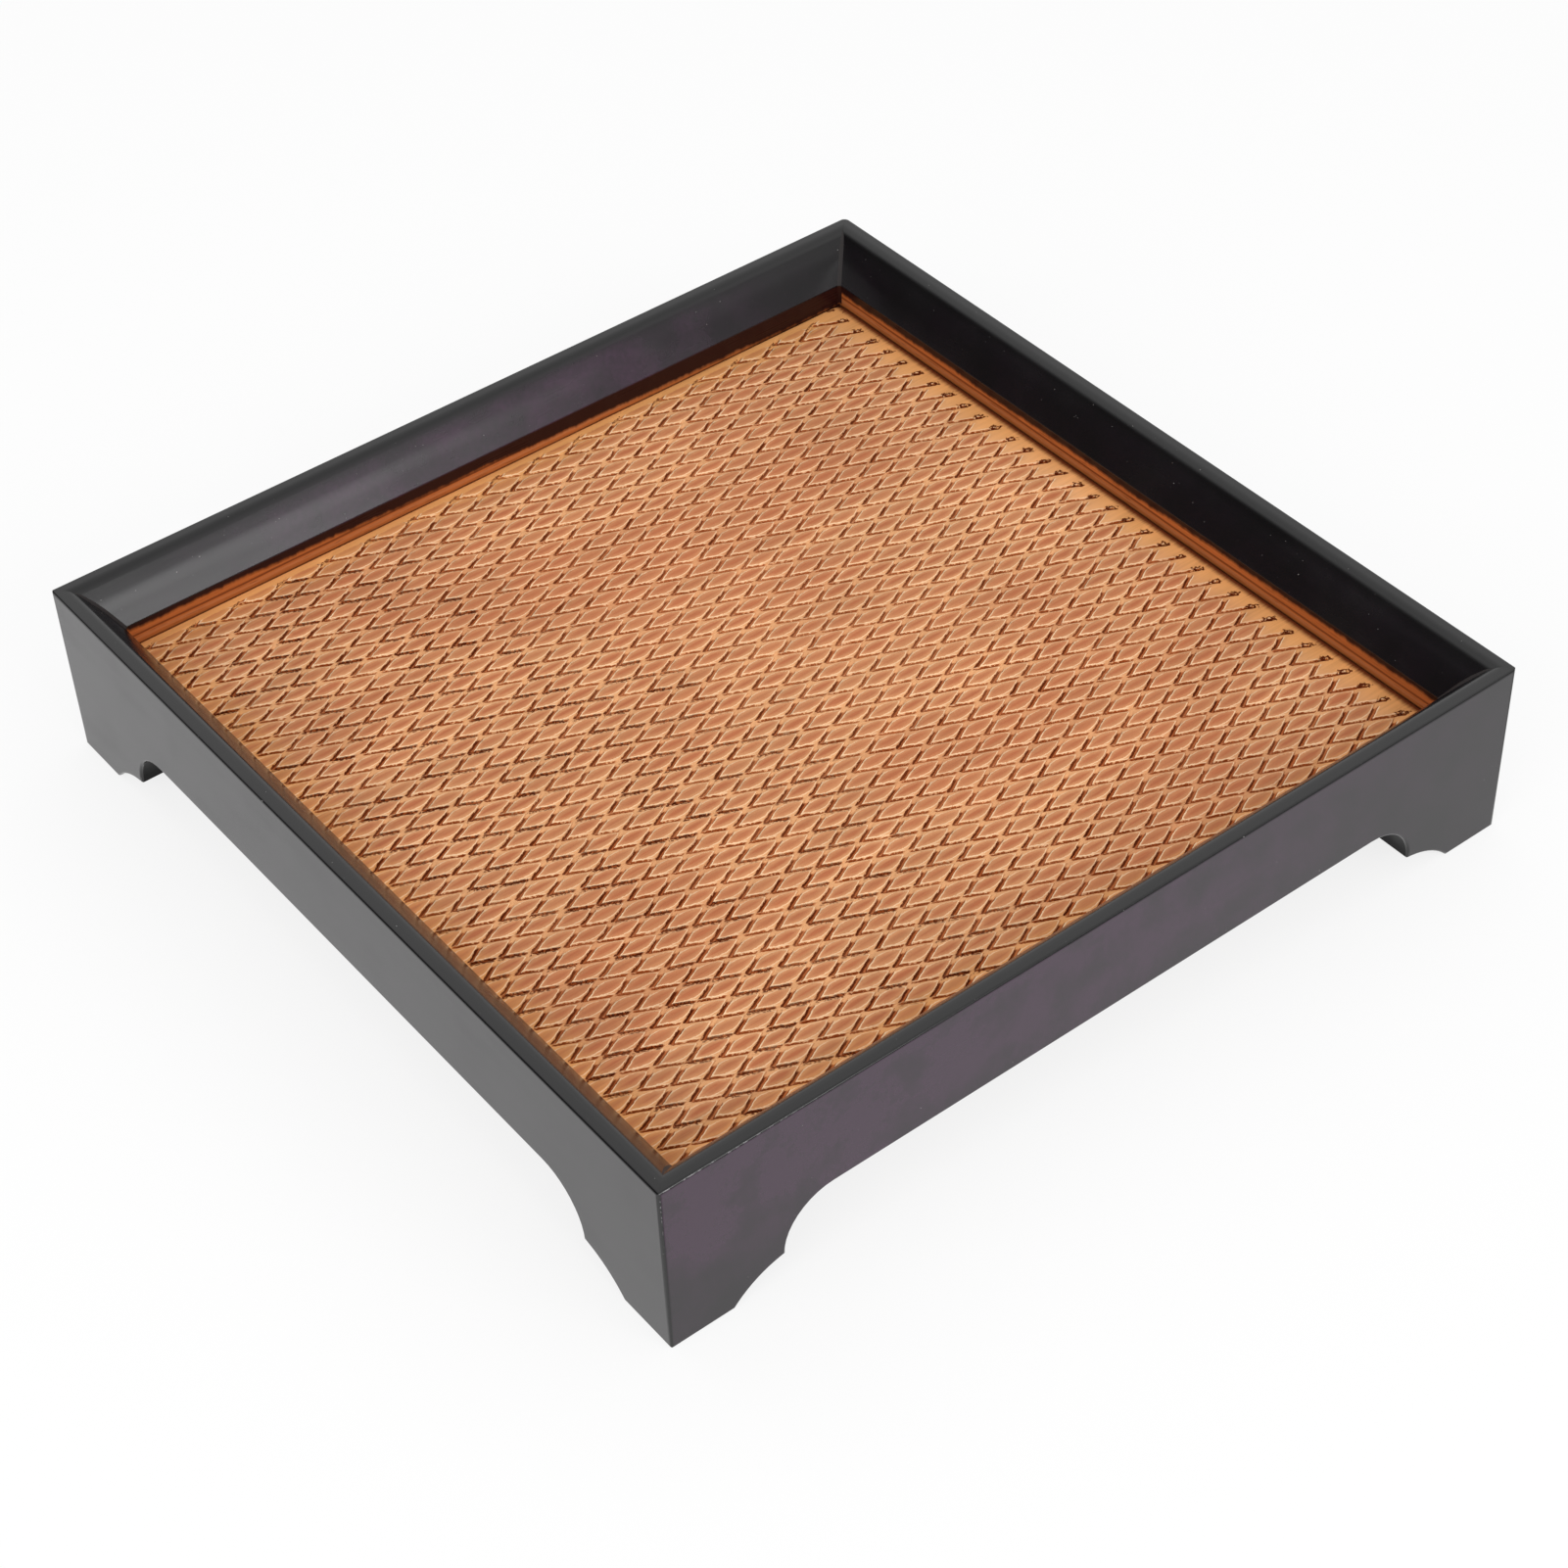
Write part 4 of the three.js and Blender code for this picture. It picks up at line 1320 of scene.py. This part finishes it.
def carved_field_tree(material, values):
    """Nodes that lay chisel-cut diamonds over a field with round corners, with an input for each value."""
    tree = bpy.data.node_groups.new("Carved diamond field", "GeometryNodeTree")
    for label, value in values.items():
        kind = "NodeSocketInt" if isinstance(value, int) else "NodeSocketFloat"
        tree.interface.new_socket(name=label, in_out="INPUT", socket_type=kind)
    tree.interface.new_socket(name="Geometry", in_out="OUTPUT", socket_type="NodeSocketGeometry")
    wires = FieldWiring(tree)
    field = wires.trimmed(wires.numbered(wires.laid_diamonds()))
    place = wires.place()
    x, y, _flat = wires.split(place)
    moves = zip(wires.hand_stray(place, x, y), wires.corner_pull(x, y))
    height = wires.minus(wires.given["Top"], wires.cut_depth(place))
    offset = wires.join(*(wires.add(stray, pull) for stray, pull in moves), height)
    field = wires.node("GeometryNodeSetPosition", {"Geometry": field, "Offset": offset}).outputs[0]
    inputs = {"Geometry": wires.realized(field), "Material": material}
    wires.node("NodeGroupOutput", {"Geometry": wires.node("GeometryNodeSetMaterial", inputs).outputs[0]})
    return tree


def carved_field(settings, material, half_width, half_depth):
    """The carved top of the board as an object with a plain open mesh."""
    item = add_object("carved_bamboo_board", bpy.data.meshes.new("carved_field"))
    diamonds = half_width / settings.diamond_length + half_depth / settings.diamond_width
    left, right, front, back = carved_area(settings)
    values = {
        "Half Width": half_width,
        "Half Depth": half_depth,
        "Corner": settings.field_corner - settings.field_edge,
        "Diamond Length": settings.diamond_length,
        "Diamond Width": settings.diamond_width,
        "Lines": 2 * (math.ceil(diamonds) + 2),
        "First Column": left,
        "Last Column": right,
        "First Row": front,
        "Last Row": back,
        "Shift Right": settings.lattice_right,
        "Shift Front": settings.lattice_front,
        "Top": BOARD_TOP,
        "Slot Depth": settings.slot_depth,
        "Nick Depth": settings.nick_depth,
        "Saddle Drop": settings.saddle_drop,
        "Wander": settings.wander,
    }
    modifier = item.modifiers.new("carving", "NODES")
    modifier.node_group = carved_field_tree(material, values)
    for socket in modifier.node_group.interface.items_tree:
        if socket.in_out == "INPUT":
            modifier[socket.identifier] = values[socket.name]
    settle(item)
    return item


def squared_off(point, half_width, half_depth, corner):
    """A point of the field's round corner moved out to the square corner."""
    arm_x = abs(point.x) - (half_width - corner)
    arm_y = abs(point.y) - (half_depth - corner)
    if min(arm_x, arm_y) <= 0.0:
        return point.copy()
    stretch = math.hypot(arm_x, arm_y) / max(arm_x, arm_y)
    return Vector((
        math.copysign(half_width - corner + arm_x * stretch, point.x),
        math.copysign(half_depth - corner + arm_y * stretch, point.y),
        point.z,
    ))


def close_board(item, settings, half_width, half_depth):
    """Adds the field's rounded edge, the rebate, the tongue and the underside to the carved top."""
    corner = settings.field_corner - settings.field_edge
    radius = settings.field_edge
    rebate = BOARD_TOP - settings.rebate_depth
    mesh = bmesh.new()
    mesh.from_mesh(item.data)
    home = mesh.verts.layers.float_vector.new("home")
    edges = [edge for edge in mesh.edges if edge.is_boundary]
    for edge in edges:
        for vert in edge.verts:
            vert[home] = vert.co

    def beyond_field(vert, reach, height):
        """A rim point moved straight out from the field's outline."""
        start = vert[home]
        arm_x = max(abs(start.x) - (half_width - corner), 0.0)
        arm_y = max(abs(start.y) - (half_depth - corner), 0.0)
        if max(arm_x, arm_y) < corner / 2:
            raise RuntimeError("the carved field is open away from its edge")
        way = Vector((math.copysign(arm_x, start.x), math.copysign(arm_y, start.y), 0.0)).normalized()
        return Vector((start.x, start.y, height)) + way * reach

    def on_tongue(vert, height):
        """A rim point moved out to the square outline of the tongue."""
        start = squared_off(vert[home], half_width, half_depth, corner)
        return Vector((start.x * BOARD_HIGH[0] / half_width, start.y * BOARD_HIGH[1] / half_depth, height))

    steps = []
    for degrees in (30, 60, 90):
        angle = math.radians(degrees)
        steps.append((beyond_field, radius * math.sin(angle), BOARD_TOP - radius * (1 - math.cos(angle))))
    steps.append((beyond_field, radius, rebate))
    steps.append((on_tongue, rebate))
    steps.append((on_tongue, BOARD_BOTTOM))
    for move, *values in steps:
        made = bmesh.ops.extrude_edge_only(mesh, edges=edges)["geom"]
        for vert in (part for part in made if isinstance(part, bmesh.types.BMVert)):
            vert.co = move(vert, *values)
        edges = [part for part in made if isinstance(part, bmesh.types.BMEdge) and part.is_boundary]
    bmesh.ops.holes_fill(mesh, edges=edges, sides=0)
    mesh.verts.layers.float_vector.remove(home)
    bmesh.ops.recalc_face_normals(mesh, faces=mesh.faces)
    mesh.to_mesh(item.data)
    mesh.free()


class TeaTrayBoard(bpy.types.Operator):
    """Makes the bamboo board: a field of chisel-cut diamonds on a tongue that sits in the rails."""

    bl_idname = "tea_tray.board"
    bl_label = "Carved board"

    def execute(self, context):
        settings = context.scene.tea_tray_board
        material = bamboo_material(settings)
        away = RAIL_THICKNESS + settings.field_gap + settings.field_edge
        half_width = TRAY_WIDTH / 2 - away
        half_depth = TRAY_DEPTH / 2 - away
        item = carved_field(settings, material, half_width, half_depth)
        close_board(item, settings, half_width, half_depth)
        item.data.shade_smooth()
        item.data.set_sharp_from_angle(angle=BOARD_SMOOTH)
        set_piece(item, "carved_bamboo", "carved_panel")
        return {"FINISHED"}


class TeaTraySplines(bpy.types.Operator):
    """Gives the hidden splines in the mitres their bare wood."""

    bl_idname = "tea_tray.splines"
    bl_label = "Splines"

    def execute(self, context):
        material = hardwood_material()
        for corner, _rub_and_highlight, _stain in CORNERS:
            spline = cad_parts[corner + "_spline"]
            spline.data.materials.clear()
            spline.data.materials.append(material)
        return {"FINISHED"}


class TeaTrayStage(bpy.types.Operator):
    """Sets the floor, the soft light and the camera."""

    bl_idname = "tea_tray.stage"
    bl_label = "Stage"

    def execute(self, context):
        settings = context.scene.tea_tray_stage
        context.scene.view_settings.view_transform = "Standard"
        self.lay_floor(settings)
        self.light_sky(context.scene, settings)
        self.hang_soft_box("front_soft_box", settings.front_power, *FRONT_BOX)
        self.hang_soft_box("left_soft_box", settings.left_power, *LEFT_BOX)
        self.stand_camera(context.scene, settings)
        return {"FINISHED"}

    def lay_floor(self, settings):
        disc = bmesh.new()
        bmesh.ops.create_circle(disc, cap_ends=True, segments=96, radius=FLOOR_RADIUS)
        floor = add_object("floor", finished(disc, "floor"))
        material, wires, shader = principled_material("pale_floor")
        speckle = wires.noise(wires.coordinates("Object"), 40.0)
        base = wires.tint(settings.floor, wires.span(speckle, 0.0, 1.0, 0.995, 1.005))
        wires.feed(shader.inputs["Base Color"], base)
        shader.inputs["Roughness"].default_value = 0.9
        shader.inputs["Specular IOR Level"].default_value = 0.0
        path = wires.node("ShaderNodeLightPath").outputs
        seen = wires.most(path["Is Camera Ray"], path["Is Glossy Ray"], path["Is Transmission Ray"])
        white = wires.node("ShaderNodeEmission", {"Color": WHITE, "Strength": 1.0})
        share = wires.times(seen, settings.floor_glow)
        blend = wires.node("ShaderNodeMixShader", {0: share, 1: shader.outputs[0], 2: white.outputs[0]})
        output = next(node for node in wires.tree.nodes if node.type == "OUTPUT_MATERIAL")
        wires.feed(output.inputs["Surface"], blend.outputs[0])
        floor.data.materials.append(material)

    def light_sky(self, scene, settings):
        world = bpy.data.worlds.new("studio_sky")
        world.use_nodes = True
        world.node_tree.nodes.clear()
        wires = Wiring(world.node_tree)
        way = wires.coordinates("Generated")
        height = wires.split(way)[2]
        behind = wires.vector("DOT_PRODUCT", way, BACKDROP_WAY, output="Value")
        corner = wires.vector("DOT_PRODUCT", way, DARK_WAY, output="Value")
        glow = wires.times(
            wires.span(behind, 0.3, 0.75, 0.0, settings.backdrop), wires.fall(height, 0.45, 0.75)
        )
        level = wires.times(
            wires.add(wires.span(height, 0.45, 0.7, settings.sky_low, settings.sky_high), glow),
            wires.span(height, 0.75, 1.0, 1.0, 0.75),
            wires.span(corner, 0.72, 0.97, 1.0, 0.03),
        )
        sky = wires.node("ShaderNodeBackground", {"Color": WHITE, "Strength": level})
        wires.node("ShaderNodeOutputWorld", {"Surface": sky.outputs[0]})
        scene.world = world

    def hang_soft_box(self, name, power, way, width, height):
        lamp = bpy.data.lights.new(name, "AREA")
        lamp.shape = "RECTANGLE"
        lamp.size = width
        lamp.size_y = height
        lamp.energy = power
        box = add_object(name, lamp)
        outward = Vector(way).normalized()
        box.location = outward * SOFT_BOX_AWAY
        box.rotation_euler = outward.to_track_quat("Z", "Y").to_euler()

    def stand_camera(self, scene, settings):
        lens = bpy.data.cameras.new("camera")
        lens.lens = settings.camera_lens
        lens.sensor_width = SENSOR_MILLIMETRES
        camera = add_object("camera", lens)
        place = Vector(settings.camera_place)
        sight = (Vector(settings.camera_aim) - place).to_track_quat("-Z", "Y").to_matrix().to_4x4()
        roll = Matrix.Rotation(settings.camera_roll, 4, "Z")
        camera.matrix_world = Matrix.Translation(place) @ sight @ roll
        scene.camera = camera


class TeaTrayPanel(bpy.types.Panel):
    """Lists the tray's pieces in the sidebar."""

    bl_idname = "VIEW3D_PT_tea_tray"
    bl_label = "Tea tray"
    bl_space_type = "VIEW_3D"
    bl_region_type = "UI"
    bl_category = "Tea tray"

    def draw(self, context):
        for step in STEPS:
            self.layout.operator(step.bl_idname)


STEPS = (TeaTrayStage, TeaTrayRails, TeaTrayFillets, TeaTrayBoard, TeaTraySplines)
SETTINGS = {
    "tea_tray_rails": TeaTrayRailSettings,
    "tea_tray_board": TeaTrayBoardSettings,
    "tea_tray_stage": TeaTrayStageSettings,
}


def register():
    for kind in (*SETTINGS.values(), *STEPS, TeaTrayPanel):
        bpy.utils.register_class(kind)
    for name, kind in SETTINGS.items():
        setattr(bpy.types.Scene, name, PointerProperty(type=kind))


def unregister():
    for name in SETTINGS:
        delattr(bpy.types.Scene, name)
    for kind in (TeaTrayPanel, *reversed(STEPS), *reversed(SETTINGS.values())):
        bpy.utils.unregister_class(kind)


def main():
    register()
    bpy.ops.tea_tray.stage()
    bpy.ops.tea_tray.rails()
    bpy.ops.tea_tray.fillets()
    bpy.ops.tea_tray.board()
    bpy.ops.tea_tray.splines()


if __name__ == "__main__":
    main()
